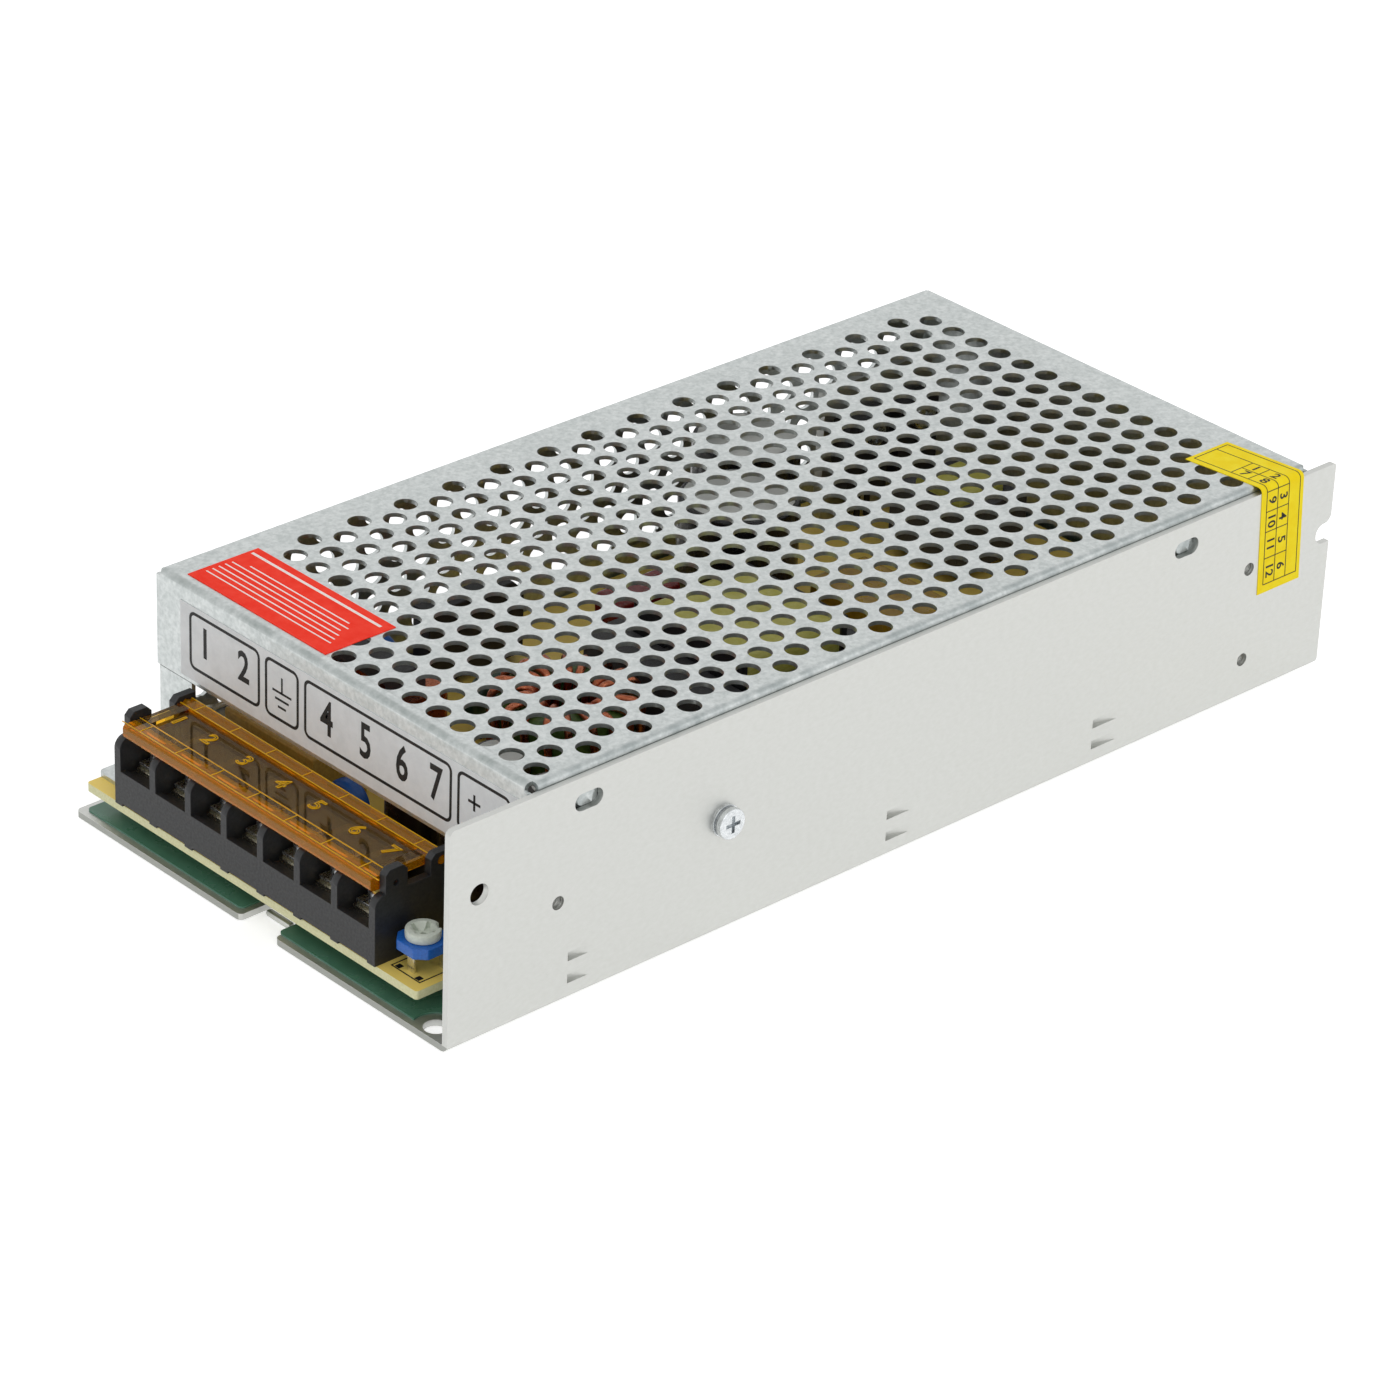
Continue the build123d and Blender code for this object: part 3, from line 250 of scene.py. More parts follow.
def amber_like(name, painted_glow, colour, rough):
    """Clear amber with a share of cloudy gold, standing in for light carried inside the plastic: painted
    light.
    """
    made = finish(name, IOR=1.5, Transmission_Weight=1.0 - painted_glow, Base_Color=linear(colour), Roughness=rough,
                  Specular_Tint=linear("#ffcc70"))
    tree = made.node_tree
    depth = add(tree, "ShaderNodeVolumeAbsorption", None,
                {"Color": linear(AMBER_DEPTH[0]), "Density": AMBER_DEPTH[1]})
    tree.links.new(depth.outputs[0], tree.nodes["Material Output"].inputs["Volume"])
    return made


amber = amber_like("amber_polycarbonate", 0.0, "#ffffff", 0.03)
amber_tree = amber.node_tree
amber_shader = amber_tree.nodes["Principled BSDF"]
amber_spot = split(amber_tree, object_spot(amber_tree))
amber_bar = maths(amber_tree, "LESS_THAN", amber_spot[0], CORNER.x + AMBER_BAR_END * MM)
amber_band = maths(amber_tree, "GREATER_THAN", amber_spot[0], CORNER.x + AMBER_BAND_START * MM)
amber_end = maths(amber_tree, "LESS_THAN", amber_spot[1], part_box("terminal_lid")[0].y + AMBER_END_WIDE * MM)
amber_thick_glow = maths(amber_tree, "MAXIMUM", amber_bar, amber_band)
amber_thick_glow = maths(amber_tree, "MAXIMUM", amber_thick_glow, amber_end)
# Painted light: the thick parts lose clearness and take a cloudy gold colour
amber_clear = ranged(amber_tree, amber_thick_glow, To_Min=0.98, To_Max=0.76)
amber_glow_tint = add(amber_tree, "ShaderNodeMix", {"data_type": "RGBA"},
                 {0: amber_thick_glow, 6: linear("#ffeab0"), 7: linear("#eea808")})
amber_tree.links.new(amber_clear, amber_shader.inputs["Transmission Weight"])
amber_tree.links.new(amber_glow_tint.outputs[2], amber_shader.inputs["Base Color"])
# Painted highlight: the lid's ribs and raised figures are a cloudy bright gold, standing in for the glints
# along their edges
amber_glint_lines = amber_like("amber_painted_glint_lines", 0.65, "#ffc71e", 0.12)

# Tinned brass strip: a warm silver
tinned_brass = grained(finish("tinned_brass", Metallic=1.0), "#ccc4a6", "#e2dcc6", 0.4, (0.18, 0.3), 0.005)

# Bright tin plate on the trimmer's wide pins
tin_plate = grained(finish("bright_tin_plate", Metallic=1.0), "#cfcfcb", "#ecebe6", 0.5, (0.14, 0.26), 0.004)

# Zinc-plated steel screws: bright with a blue-grey cast and fine scratches
zinc = grained(finish("zinc_plated_steel", Metallic=1.0), "#c6cacc", "#e2e5e7", 0.35, (0.2, 0.36), 0.006)

# Glass-filled nylon, blue: the trimmer's housing
blue_plastic = grained(finish("blue_nylon", IOR=1.53), "#145ab0", "#1b68c4", 0.4, (0.3, 0.42), 0.005)

# White acetal with a faint green cast: the trimmer's rotor
white_plastic = grained(finish("white_acetal", IOR=1.48), "#cfd6ca", "#dde3d7", 0.5, (0.35, 0.5), 0.004)

# Silicone thermal pad: pale grey rubber with a woven glass face
thermal_sheet = grained(finish("silicone_pad", IOR=1.41), "#8f989c", "#a3abae", 0.3, (0.7, 0.85), 0.01)

# Epoxy moulding compound of power packages: near-black and matt
black_epoxy = grained(finish("black_epoxy", IOR=1.55), "#18181a", "#222225", 0.15, (0.5, 0.65), 0.008)

# Sintered ferrite: dark grey, dull, with pits
ferrite = grained(finish("sintered_ferrite", IOR=1.8), "#2a2a2c", "#3a3a3d", 0.25, (0.55, 0.75), 0.02)

# Polyester winding tape: yellow-green film with overlapping edges
yellow_tape = grained(finish("yellow_polyester_tape", IOR=1.6), "#cfc955", "#ded976", 2.5, (0.28, 0.42), 0.02,
                      (1, 1, 4))

# Epoxy-coated iron-powder ring: mid green
green_core = grained(finish("green_epoxy_coat", IOR=1.55), "#3c5a24", "#54752f", 0.8, (0.4, 0.55), 0.02)

# Enamelled copper wire: orange metal under clear enamel
copper = grained(finish("enamelled_copper", Metallic=1.0, Coat_Weight=0.6, Coat_Roughness=0.15), "#b9603c",
                 "#d9825c", 1.2, (0.24, 0.36), 0.006)

# PVC shrink sleeves of the capacitors: glossy, black on the large cans and dark brown on the small ones
bulk_sleeve = grained(finish("black_pvc_sleeve", IOR=1.53), "#141416", "#1d1d20", 1.5, (0.22, 0.34), 0.01)
can_sleeve = grained(finish("brown_pvc_sleeve", IOR=1.53), "#241a14", "#33261c", 1.5, (0.25, 0.36), 0.01)

# Dipped film capacitors: thick glossy epoxy
red_dip = grained(finish("dark_red_epoxy_dip", IOR=1.55), "#6c0f12", "#84171a", 2.0, (0.2, 0.3), 0.03)
mustard_dip = grained(finish("mustard_epoxy_dip", IOR=1.55), "#a8821a", "#bf9825", 2.0, (0.25, 0.35), 0.03)

# Moulded capacitor case and cement resistors: tan plastic
tan_box = grained(finish("tan_moulding", IOR=1.53), "#bd9540", "#cea74e", 0.6, (0.38, 0.5), 0.008)

# Fuse glass
fuse_glass = grained(finish("fuse_glass", IOR=1.47, Transmission_Weight=0.9), "#e8ecec", "#f4f6f6", 1.0,
                     (0.03, 0.06))

# Plain steel: spacers, spring washer and clamp bar
plain_steel = grained(finish("plain_steel", Metallic=1.0), "#8f9294", "#a9acae", 0.4, (0.3, 0.45), 0.006)

# Self-adhesive printed foils: smooth vinyl with a slight sheen
red_foil = grained(finish("red_label_vinyl", IOR=1.4, Specular_IOR_Level=0.3), "#fb2a0a", "#ff3514", 2.5,
                   (0.5, 0.62), 0.002)
white_foil = grained(finish("silver_white_label_vinyl", IOR=1.45), "#dadcdd", "#e3e5e6", 2.5, (0.38, 0.5),
                     0.002)
yellow_foil = grained(finish("yellow_label_vinyl", IOR=1.4, Specular_IOR_Level=0.3), "#fbde06", "#ffe714",
                      2.5, (0.5, 0.62), 0.002)
black_ink = grained(finish("black_label_ink", IOR=1.4), "#0d0c0b", "#151412", 0.5, (0.5, 0.65))
white_ink = grained(finish("white_label_ink", IOR=1.5), "#f0e4de", "#faf2ee", 0.5, (0.45, 0.6))

# Thermistor and disc dip: dark green epoxy
green_dip = grained(finish("dark_green_epoxy_dip", IOR=1.55), "#173221", "#204430", 1.0, (0.3, 0.45), 0.02)

FINISHES = {
    "aluminium_sheet": aluminium, "galvanised_sheet": galvanised, "film": film, "laminate": laminate,
    "black_moulding": black_moulding, "amber_clear": amber, "tinned_brass": tinned_brass, "zinc_screw": zinc,
    "blue_plastic": blue_plastic, "white_plastic": white_plastic, "thermal_sheet": thermal_sheet,
    "black_epoxy": black_epoxy, "ferrite": ferrite, "yellow_tape": yellow_tape, "green_core": green_core,
    "copper": copper, "bulk_sleeve": bulk_sleeve, "can_sleeve": can_sleeve, "red_film": red_dip,
    "mustard_film": mustard_dip, "tan_box": tan_box, "glass_tube": fuse_glass, "steel_plain": plain_steel,
    "red_print": red_foil, "white_print": white_foil, "yellow_print": yellow_foil,
    "dark_green_epoxy": green_dip,
}
for name, part in frame["nodes"].items():
    part.data.materials.clear()
    part.data.materials.append(FINISHES[SLOTS[name]])


# Making pieces


def settle(piece, name, material, body="housing"):
    """Name a piece, apply its place and give it its finish and body."""
    pick(piece)
    bpy.ops.object.transform_apply(location=True, rotation=True, scale=True)
    piece.name = piece.data.name = name
    piece.data.materials.clear()
    piece.data.materials.append(material)
    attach(piece, body)
    return piece


def turned(degrees, axis):
    """Matrix of a turn about an axis."""
    return Matrix.Rotation(math.radians(degrees), 4, axis)


def moved(piece, matrix, spot):
    """Turn or stretch a piece about a point of the drawing."""
    about = place(*spot)
    piece.matrix_world = Matrix.Translation(about) @ matrix @ Matrix.Translation(-about)
    pick(piece)
    bpy.ops.object.transform_apply(location=True, rotation=True, scale=True)
    return piece


def combined(piece, tool, operation="DIFFERENCE"):
    """Cut a tool out of a piece, or add it."""
    pick(piece)
    step = piece.modifiers.new("step", "BOOLEAN")
    step.object = tool
    step.operation = operation
    step.solver = "EXACT"
    bpy.ops.object.modifier_apply(modifier=step.name)
    bpy.data.objects.remove(tool)
    return piece


def joined(pieces):
    """Several pieces as one."""
    pick(*pieces)
    if len(pieces) > 1:
        bpy.ops.object.join()
    return bpy.context.object


SAME_POINT = 0.002
IN_FACE = 0.02


def weigh_outer(piece, node, angle):
    """Give a bevel weight to the sharp edges in the cover's outer faces, and to no others."""
    bpy.ops.object.mode_set(mode="EDIT")
    bpy.ops.mesh.select_mode(type="EDGE")
    bpy.ops.mesh.select_all(action="DESELECT")
    bpy.ops.mesh.edges_select_sharp(sharpness=math.radians(angle))
    bpy.ops.object.mode_set(mode="OBJECT")
    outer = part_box(node)[1]
    front = CORNER.x + COVER_FRONT * MM
    points = piece.data.vertices
    weights = piece.data.attributes.new("bevel_weight_edge", "FLOAT", "EDGE")
    for edge in piece.data.edges:
        middle = (points[edge.vertices[0]].co + points[edge.vertices[1]].co) / 2
        near = min(abs(middle.x - front), *(abs(middle[side] - outer[side]) for side in range(3)))
        if edge.select and near < IN_FACE * MM:
            weights.data[edge.index].value = 1.0


def softened(node, width, segments=2, body="housing", flat=0.5, angle=30, outer=False):
    """Copy of a CAD node with its corners merged and its edges rounded, which stands for the node."""
    source = frame["nodes"][node]
    source.hide_set(False)
    pick(source)
    bpy.ops.object.duplicate()
    piece = bpy.context.object
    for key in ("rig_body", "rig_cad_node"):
        if key in piece:
            del piece[key]
    piece.parent = None
    bpy.ops.object.mode_set(mode="EDIT")
    bpy.ops.mesh.select_all(action="SELECT")
    bpy.ops.mesh.remove_doubles(threshold=SAME_POINT * MM)
    if flat:
        bpy.ops.mesh.dissolve_limited(angle_limit=math.radians(flat))
    bpy.ops.object.mode_set(mode="OBJECT")
    bevel = piece.modifiers.new("edges", "BEVEL")
    bevel.width = width * MM
    bevel.segments = segments
    bevel.limit_method = "ANGLE"
    bevel.angle_limit = math.radians(angle)
    if outer:
        weigh_outer(piece, node, angle)
        bevel.limit_method = "WEIGHT"
    bpy.ops.object.modifier_apply(modifier=bevel.name)
    bpy.ops.object.shade_smooth_by_angle(angle=math.radians(angle))
    faces = piece.modifiers.new("faces", "WEIGHTED_NORMAL")
    faces.keep_sharp = True
    bpy.ops.object.modifier_apply(modifier=faces.name)
    settle(piece, node + "_finished", FINISHES[SLOTS[node]], body)
    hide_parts(node)
    return piece


def bar(low, high, edge=0.0):
    """Straight bar between two corners of the drawing, with its edges rounded."""
    deselect()
    start, end = place(*low), place(*high)
    bpy.ops.mesh.primitive_cube_add(size=1, location=(start + end) / 2, scale=end - start)
    piece = bpy.context.object
    bpy.ops.object.transform_apply(location=True, rotation=True, scale=True)
    if edge:
        bpy.ops.object.mode_set(mode="EDIT")
        bpy.ops.mesh.select_all(action="SELECT")
        bpy.ops.mesh.bevel(offset=edge * MM, segments=2)
        bpy.ops.object.mode_set(mode="OBJECT")
        bpy.ops.object.shade_smooth_by_angle(angle=math.radians(40))
    return piece


def disc(spot, radius, height, axis="Z", sides=32, edge=0.0):
    """Round bar that starts at a spot and runs along an axis."""
    deselect()
    turn = {"Z": (0, 0, 0), "Y": (math.radians(-90), 0, 0), "X": (0, math.radians(90), 0)}[axis]
    along = Vector([float(axis == one) for one in "XYZ"])
    bpy.ops.mesh.primitive_cylinder_add(vertices=sides, radius=radius * MM, depth=height * MM, rotation=turn,
                                        location=place(*spot) + along * height * MM / 2)
    piece = bpy.context.object
    bpy.ops.object.transform_apply(location=True, rotation=True, scale=True)
    if edge:
        bevel = piece.modifiers.new("edges", "BEVEL")
        bevel.width = edge * MM
        bevel.segments = 2
        bevel.limit_method = "ANGLE"
        bpy.ops.object.modifier_apply(modifier=bevel.name)
    bpy.ops.object.shade_smooth_by_angle(angle=math.radians(35))
    return piece


def stand(piece, spot, right, up):
    """Stand a flat piece, drawn in x and y, on a plane of the object."""
    right, up = Vector(right), Vector(up)
    turn = Matrix((right, up, right.cross(up))).transposed().to_4x4()
    piece.matrix_world = Matrix.Translation(place(*spot)) @ turn
    pick(piece)
    bpy.ops.object.transform_apply(location=True, rotation=True, scale=True)
    return piece


def outline(width, height, corner, line):
    """Flat rounded frame with a thin line, drawn about its middle."""
    deselect()
    bpy.ops.mesh.primitive_plane_add(size=1)
    piece = bpy.context.object
    piece.scale = (width * MM, height * MM, 1)
    bpy.ops.object.transform_apply(scale=True)
    bpy.ops.object.mode_set(mode="EDIT")
    bpy.ops.mesh.select_all(action="SELECT")
    if corner:
        bpy.ops.mesh.bevel(offset=corner * MM, segments=6, affect="VERTICES")
        bpy.ops.mesh.select_all(action="SELECT")
    bpy.ops.mesh.inset(thickness=line * MM)
    bpy.ops.mesh.delete(type="FACE")
    bpy.ops.mesh.select_all(action="SELECT")
    bpy.ops.mesh.extrude_region_move(TRANSFORM_OT_translate={"value": (0, 0, PRINT_SHEET * MM)})
    bpy.ops.object.mode_set(mode="OBJECT")
    return piece


CAPITAL = 0.7


def figure(text, height, squeeze=1.0, weight=0.0, tube=0.0):
    """Plain figures about their middle: flat and thickened by a weight, or as an outline of thin tube."""
    deselect()
    bpy.ops.object.text_add()
    piece = bpy.context.object
    piece.data.body = text
    piece.data.align_x = "CENTER"
    piece.data.align_y = "CENTER"
    piece.data.size = height / CAPITAL * MM
    piece.data.extrude = PRINT_SHEET / 2 * MM
    piece.data.offset = weight * MM
    piece.data.resolution_u = 3
    if tube:
        piece.data.fill_mode = "NONE"
        piece.data.extrude = 0.0
        piece.data.bevel_depth = tube * MM
    bpy.ops.object.convert(target="MESH")
    piece = bpy.context.object
    piece.scale = (squeeze, 1, 1)
    bpy.ops.object.transform_apply(scale=True)
    return piece


def stroke(width, height):
    """Flat printed stroke about its middle."""
    deselect()
    bpy.ops.mesh.primitive_cube_add(size=1, location=(0, 0, PRINT_SHEET / 2 * MM),
                                    scale=(width * MM, height * MM, PRINT_SHEET * MM))
    bpy.ops.object.transform_apply(location=True, rotation=True, scale=True)
    return bpy.context.object


# CAD nodes with their edges finished: width of the rounding in mm
for node, width in {
    "chassis": 0.18, "circuit_board": 0.1, "terminal_block": 0.28, "terminal_contacts": 0.08,
    "terminal_clamps": 0.12, "terminal_screws": 0.1, "trimmer_body": 0.25, "trimmer_pins": 0.06,
    "earth_screw": 0.1, "wall_screw": 0.1, "flat_washer": 0.08, "lock_washer": 0.1, "clamp_bar": 0.15,
    "power_transistors": 0.15, "transformer_core": 0.3, "transformer_bobbin": 0.15,
    "line_filter_core": 0.3, "bridge_rectifier": 0.2, "heatsink": 0.12, "switching_transistors": 0.15,
    "driver_core": 0.3, "controller_chip": 0.12, "fuse_clips": 0.05, "board_screws": 0.1,
    "cover_screws": 0.08,
}.items():
    softened(node, width)
softened("cover", 0.1, 1, flat=0.0, outer=True)
softened("terminal_lid", 0.22, 3, "lid")

# Trimmer: a thin body on wide pins, and a rotor with a bowl, a cross slot, a drilled centre and a rim notch
TRIMMER_X, TRIMMER_Y = 7.2, 14.6
TRIMMER_SEAT = 12.4
TRIMMER_THIN = 0.81
PIN_TOP = 10.0
PIN_TOP_RAISED = 10.45
ROTOR_LOW, ROTOR_TOP, ROTOR_RADIUS = 12.46, 14.1, 3.0
STEM_LOW, STEM_LONG, STEM_RADIUS = 11.3, 1.4, 1.4
BOWL_LOW_RADIUS, BOWL_TOP_RADIUS, BOWL_DEEP, BOWL_UNDER_TOP = 1.0, 2.1, 1.3, 0.55
DRILL_LOW, DRILL_LONG, DRILL_RADIUS = 12.0, 2.6, 0.55
SLOT_LOW, SLOT_REACH, SLOT_HALF = 12.85, 2.2, 0.42
SLOT_TURNS = (20, 110)
NOTCH_LOW, NOTCH_HALF, NOTCH_TURN = 13.0, 0.85, -23
NOTCH_START, NOTCH_END = 2.25, 3.4
TOOL_TOP = 14.4
UPRIGHT = Vector((0, 0, 1))

moved(bpy.data.objects["trimmer_body_finished"], Matrix.Scale(TRIMMER_THIN, 4, UPRIGHT),
      (TRIMMER_X, TRIMMER_Y, TRIMMER_SEAT))
pin_growth = (PIN_TOP_RAISED - BOARD_TOP) / (PIN_TOP - BOARD_TOP)
pins = moved(bpy.data.objects["trimmer_pins_finished"], Matrix.Scale(pin_growth, 4, UPRIGHT),
             (TRIMMER_X, TRIMMER_Y, BOARD_TOP))
pins.data.materials[0] = tin_plate


def rotor_tool(start, end, half, low, degrees):
    """Bar from one reach to another of the rotor's middle, turned about its axis."""
    tool = bar((TRIMMER_X + start, TRIMMER_Y - half, low), (TRIMMER_X + end, TRIMMER_Y + half, TOOL_TOP))
    return moved(tool, turned(degrees, "Z"), (TRIMMER_X, TRIMMER_Y, 0))


rotor = disc((TRIMMER_X, TRIMMER_Y, ROTOR_LOW), ROTOR_RADIUS, ROTOR_TOP - ROTOR_LOW, sides=64, edge=0.2)
rotor = combined(rotor, disc((TRIMMER_X, TRIMMER_Y, STEM_LOW), STEM_RADIUS, STEM_LONG), "UNION")
deselect()
bpy.ops.mesh.primitive_cone_add(vertices=48, radius1=BOWL_LOW_RADIUS * MM, radius2=BOWL_TOP_RADIUS * MM,
                                depth=BOWL_DEEP * MM,
                                location=place(TRIMMER_X, TRIMMER_Y, ROTOR_TOP - BOWL_UNDER_TOP))
rotor = combined(rotor, bpy.context.object)
rotor = combined(rotor, disc((TRIMMER_X, TRIMMER_Y, DRILL_LOW), DRILL_RADIUS, DRILL_LONG, sides=24))
for degrees in SLOT_TURNS:
    rotor = combined(rotor, rotor_tool(-SLOT_REACH, SLOT_REACH, SLOT_HALF, SLOT_LOW, degrees))
rotor = combined(rotor, rotor_tool(NOTCH_START, NOTCH_END, NOTCH_HALF, NOTCH_LOW, NOTCH_TURN))
pick(rotor)
bpy.ops.object.shade_smooth_by_angle(angle=math.radians(35))
settle(rotor, "trimmer_rotor_finished", white_plastic, "rotor")
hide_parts("trimmer_rotor")

# Tongue at the inner end of the base's notch, where the sheet starts to turn up
TONGUE = ((4.3, 45.4, 0.02), (5.6, 51.7, 1.18))
settle(bar(*TONGUE, 0.4), "notch_tongue", aluminium)


# Output choke: round wire wound through the ring, each turn leaning on to the next
CHOKE_X, CHOKE_Y = 60.8, 41.0
CHOKE_TURNS = 20
CHOKE_WIRE = 0.73
CHOKE_PLAY = 0.05
CHOKE_BEND = 1.6
CHOKE_BAND = (6.4, 12.0)
CHOKE_BASE = 8.25
CHOKE_HEIGHT = 19.0
CHOKE_LEAN = 5.0


def choke_turn():
    """One turn of wire as a rounded rectangle standing along the radius."""
    deselect()
    bpy.ops.mesh.primitive_plane_add(size=1)
    turn = bpy.context.object
    reach = 2 * (CHOKE_WIRE + CHOKE_PLAY)
    turn.scale = ((CHOKE_BAND[1] - CHOKE_BAND[0] + reach) * MM, (CHOKE_HEIGHT + reach) * MM, 1)
    bpy.ops.object.transform_apply(scale=True)
    bpy.ops.object.mode_set(mode="EDIT")
    bpy.ops.mesh.select_all(action="SELECT")
    bpy.ops.mesh.bevel(offset=CHOKE_BEND * MM, segments=4, affect="VERTICES")
    bpy.ops.mesh.select_all(action="SELECT")
    bpy.ops.mesh.delete(type="ONLY_FACE")
    bpy.ops.object.mode_set(mode="OBJECT")
    bpy.ops.object.convert(target="CURVE")
    turn = bpy.context.object
    turn.data.bevel_depth = CHOKE_WIRE * MM
    turn.data.bevel_resolution = 3
    bpy.ops.object.convert(target="MESH")
    return bpy.context.object


turns = []
first_turn = choke_turn()
choke_middle = place(CHOKE_X, CHOKE_Y, CHOKE_BASE + CHOKE_HEIGHT / 2)
turn_middle = Vector(((CHOKE_BAND[0] + CHOKE_BAND[1]) / 2 * MM, 0, 0))
for index in range(CHOKE_TURNS):
    pick(first_turn)
    bpy.ops.object.duplicate()
    turn = bpy.context.object
    uneven = (index * 37 % 5 - 2) * 0.5
    turn.matrix_world = (Matrix.Translation(choke_middle) @ turned(360 * index / CHOKE_TURNS + uneven, "Z")
                         @ Matrix.Translation(turn_middle) @ turned(CHOKE_LEAN, "X") @ turned(90, "X"))
    turns.append(turn)
bpy.data.objects.remove(first_turn)
choke_wire = joined(turns)
bpy.ops.object.shade_smooth()
settle(choke_wire, "choke_wire_turns", copper)
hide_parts("output_choke_winding")


# White label: plain frames with figures for the terminals, and the earth, plus and minus signs
LABEL_PLANE = COVER_FRONT - 0.12
LABEL_RIGHT, LABEL_UP = (0, -1, 0), (0, 0, 1)
FRAME_LOW, FRAME_HIGH = 26.75, 37.8
FRAME_ENDS = ((88.85, 69.8), (68.45, 59.5), (58.1, 20.35), (19.0, 5.9))
FRAME_CORNER = 1.5
INK_LINE = 0.58
FIGURES = (("1", 84.6, 32.6, 5.6, 0.8), ("2", 74.2, 32.6, 5.6, 0.8), ("4", 52.2, 32.3, 6.4, 0.72),
           ("5", 42.2, 32.3, 6.4, 0.72), ("6", 32.9, 32.3, 6.4, 0.72), ("7", 24.4, 32.3, 6.4, 0.72))
SIGN_STROKES = ((0.42, 3.0, 63.95, 33.6), (5.0, 0.42, 63.95, 32.15), (3.6, 0.42, 63.95, 30.8),
                (2.1, 0.42, 63.95, 29.4), (3.0, 0.5, 14.8, 33.2), (0.5, 3.0, 14.8, 33.2),
                (3.0, 0.5, 9.6, 33.2))


def on_front(piece, y, z):
    """Stand a flat print on the white label."""
    return stand(piece, (LABEL_PLANE, y, z), LABEL_RIGHT, LABEL_UP)


prints = []
for far, near in FRAME_ENDS:
    ring = outline(far - near, FRAME_HIGH - FRAME_LOW, FRAME_CORNER, INK_LINE)
    prints.append(on_front(ring, (far + near) / 2, (FRAME_LOW + FRAME_HIGH) / 2))
for text, y, z, height, squeeze in FIGURES:
    prints.append(on_front(figure(text, height, squeeze, weight=0.16), y, z))
for wide, high, y, z in SIGN_STROKES:
    prints.append(on_front(stroke(wide, high), y, z))
settle(joined(prints), "terminal_label_print", black_ink)

# Red label: white rules on a plain field, the first one wider
TOP_RIGHT, TOP_UP = (0, -1, 0), (1, 0, 0)
RULES_PLANE = CASE_TOP + 0.12
HEAD_RULE = 0.6
THIN_RULE = 0.28
RULES = ((33.75, 91.9, 57.6, HEAD_RULE), (30.4, 88.2, 61.8, THIN_RULE), (29.05, 91.4, 60.4, THIN_RULE),
         (27.7, 91.6, 60.8, THIN_RULE), (26.35, 91.6, 59.6, THIN_RULE), (25.0, 91.6, 59.0, THIN_RULE),
         (23.65, 91.6, 58.4, THIN_RULE))
rules = [stand(stroke(far - near, wide), (x, (far + near) / 2, RULES_PLANE), TOP_RIGHT, TOP_UP)
         for x, far, near, wide in RULES]
settle(joined(rules), "front_label_rules", white_ink)


# Yellow label: drawn flat, then wrapped over the near edge of the case
YELLOW_X = 186.1
YELLOW_WIDE = 11.05
YELLOW_REACH = 16.7
YELLOW_BOTTOM = 20.4
YELLOW_TOP_SKEW = 0.12
YELLOW_SIDE_SKEW = 0.06
YELLOW_SHEET = 0.12
FOLD_RADIUS = 1.0


def wrap(piece):
    """Bend a flat piece, drawn with x across the label and y back from its top end, round the edge."""
    straight = YELLOW_REACH - FOLD_RADIUS
    quarter = FOLD_RADIUS * math.pi / 2
    for vertex in piece.data.vertices:
        across, along, lift = (part / MM for part in vertex.co)
        x = YELLOW_X + across + min(along, YELLOW_REACH) * YELLOW_TOP_SKEW
        x += max(along - YELLOW_REACH, 0.0) * YELLOW_SIDE_SKEW
        if along <= straight:
            y, z = YELLOW_REACH - along, CASE_TOP + lift
        elif along <= straight + quarter:
            angle = (along - straight) / FOLD_RADIUS
            y = FOLD_RADIUS - math.sin(angle) * (FOLD_RADIUS + lift)
            z = WALL_TOP + math.cos(angle) * (FOLD_RADIUS + lift)
        else:
            y, z = -lift, WALL_TOP - (along - straight - quarter)
        vertex.co = place(x, y, z)
    piece.data.update()
    pick(piece)
    bpy.ops.object.mode_set(mode="EDIT")
    bpy.ops.mesh.select_all(action="SELECT")
    bpy.ops.mesh.normals_make_consistent(inside=False)
    bpy.ops.object.mode_set(mode="OBJECT")
    return piece


def flat_grid(low, high, lift, sheet, steps):
    """Flat strip with cross cuts close enough to bend."""
    deselect()
    bpy.ops.mesh.primitive_grid_add(x_subdivisions=2, y_subdivisions=steps, size=1)
    piece = bpy.context.object
    piece.scale = ((high[0] - low[0]) * MM, (high[1] - low[1]) * MM, 1)
    piece.location = ((low[0] + high[0]) / 2 * MM, (low[1] + high[1]) / 2 * MM, lift * MM)
    bpy.ops.object.transform_apply(location=True, scale=True)
    bpy.ops.object.mode_set(mode="EDIT")
    bpy.ops.mesh.select_all(action="SELECT")
    bpy.ops.mesh.extrude_region_move(TRANSFORM_OT_translate={"value": (0, 0, sheet * MM)})
    bpy.ops.mesh.select_all(action="SELECT")
    bpy.ops.mesh.normals_make_consistent(inside=False)
    bpy.ops.object.mode_set(mode="OBJECT")
    return piece


BEND_STEPS = 90
label_length = YELLOW_REACH - FOLD_RADIUS + FOLD_RADIUS * math.pi / 2 + WALL_TOP - YELLOW_BOTTOM
yellow = wrap(flat_grid((0, 0), (YELLOW_WIDE, label_length), 0.0, YELLOW_SHEET, BEND_STEPS))
bpy.ops.object.shade_smooth_by_angle(angle=math.radians(30))
settle(yellow, "inspection_label_finished", yellow_foil)
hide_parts("inspection_label")

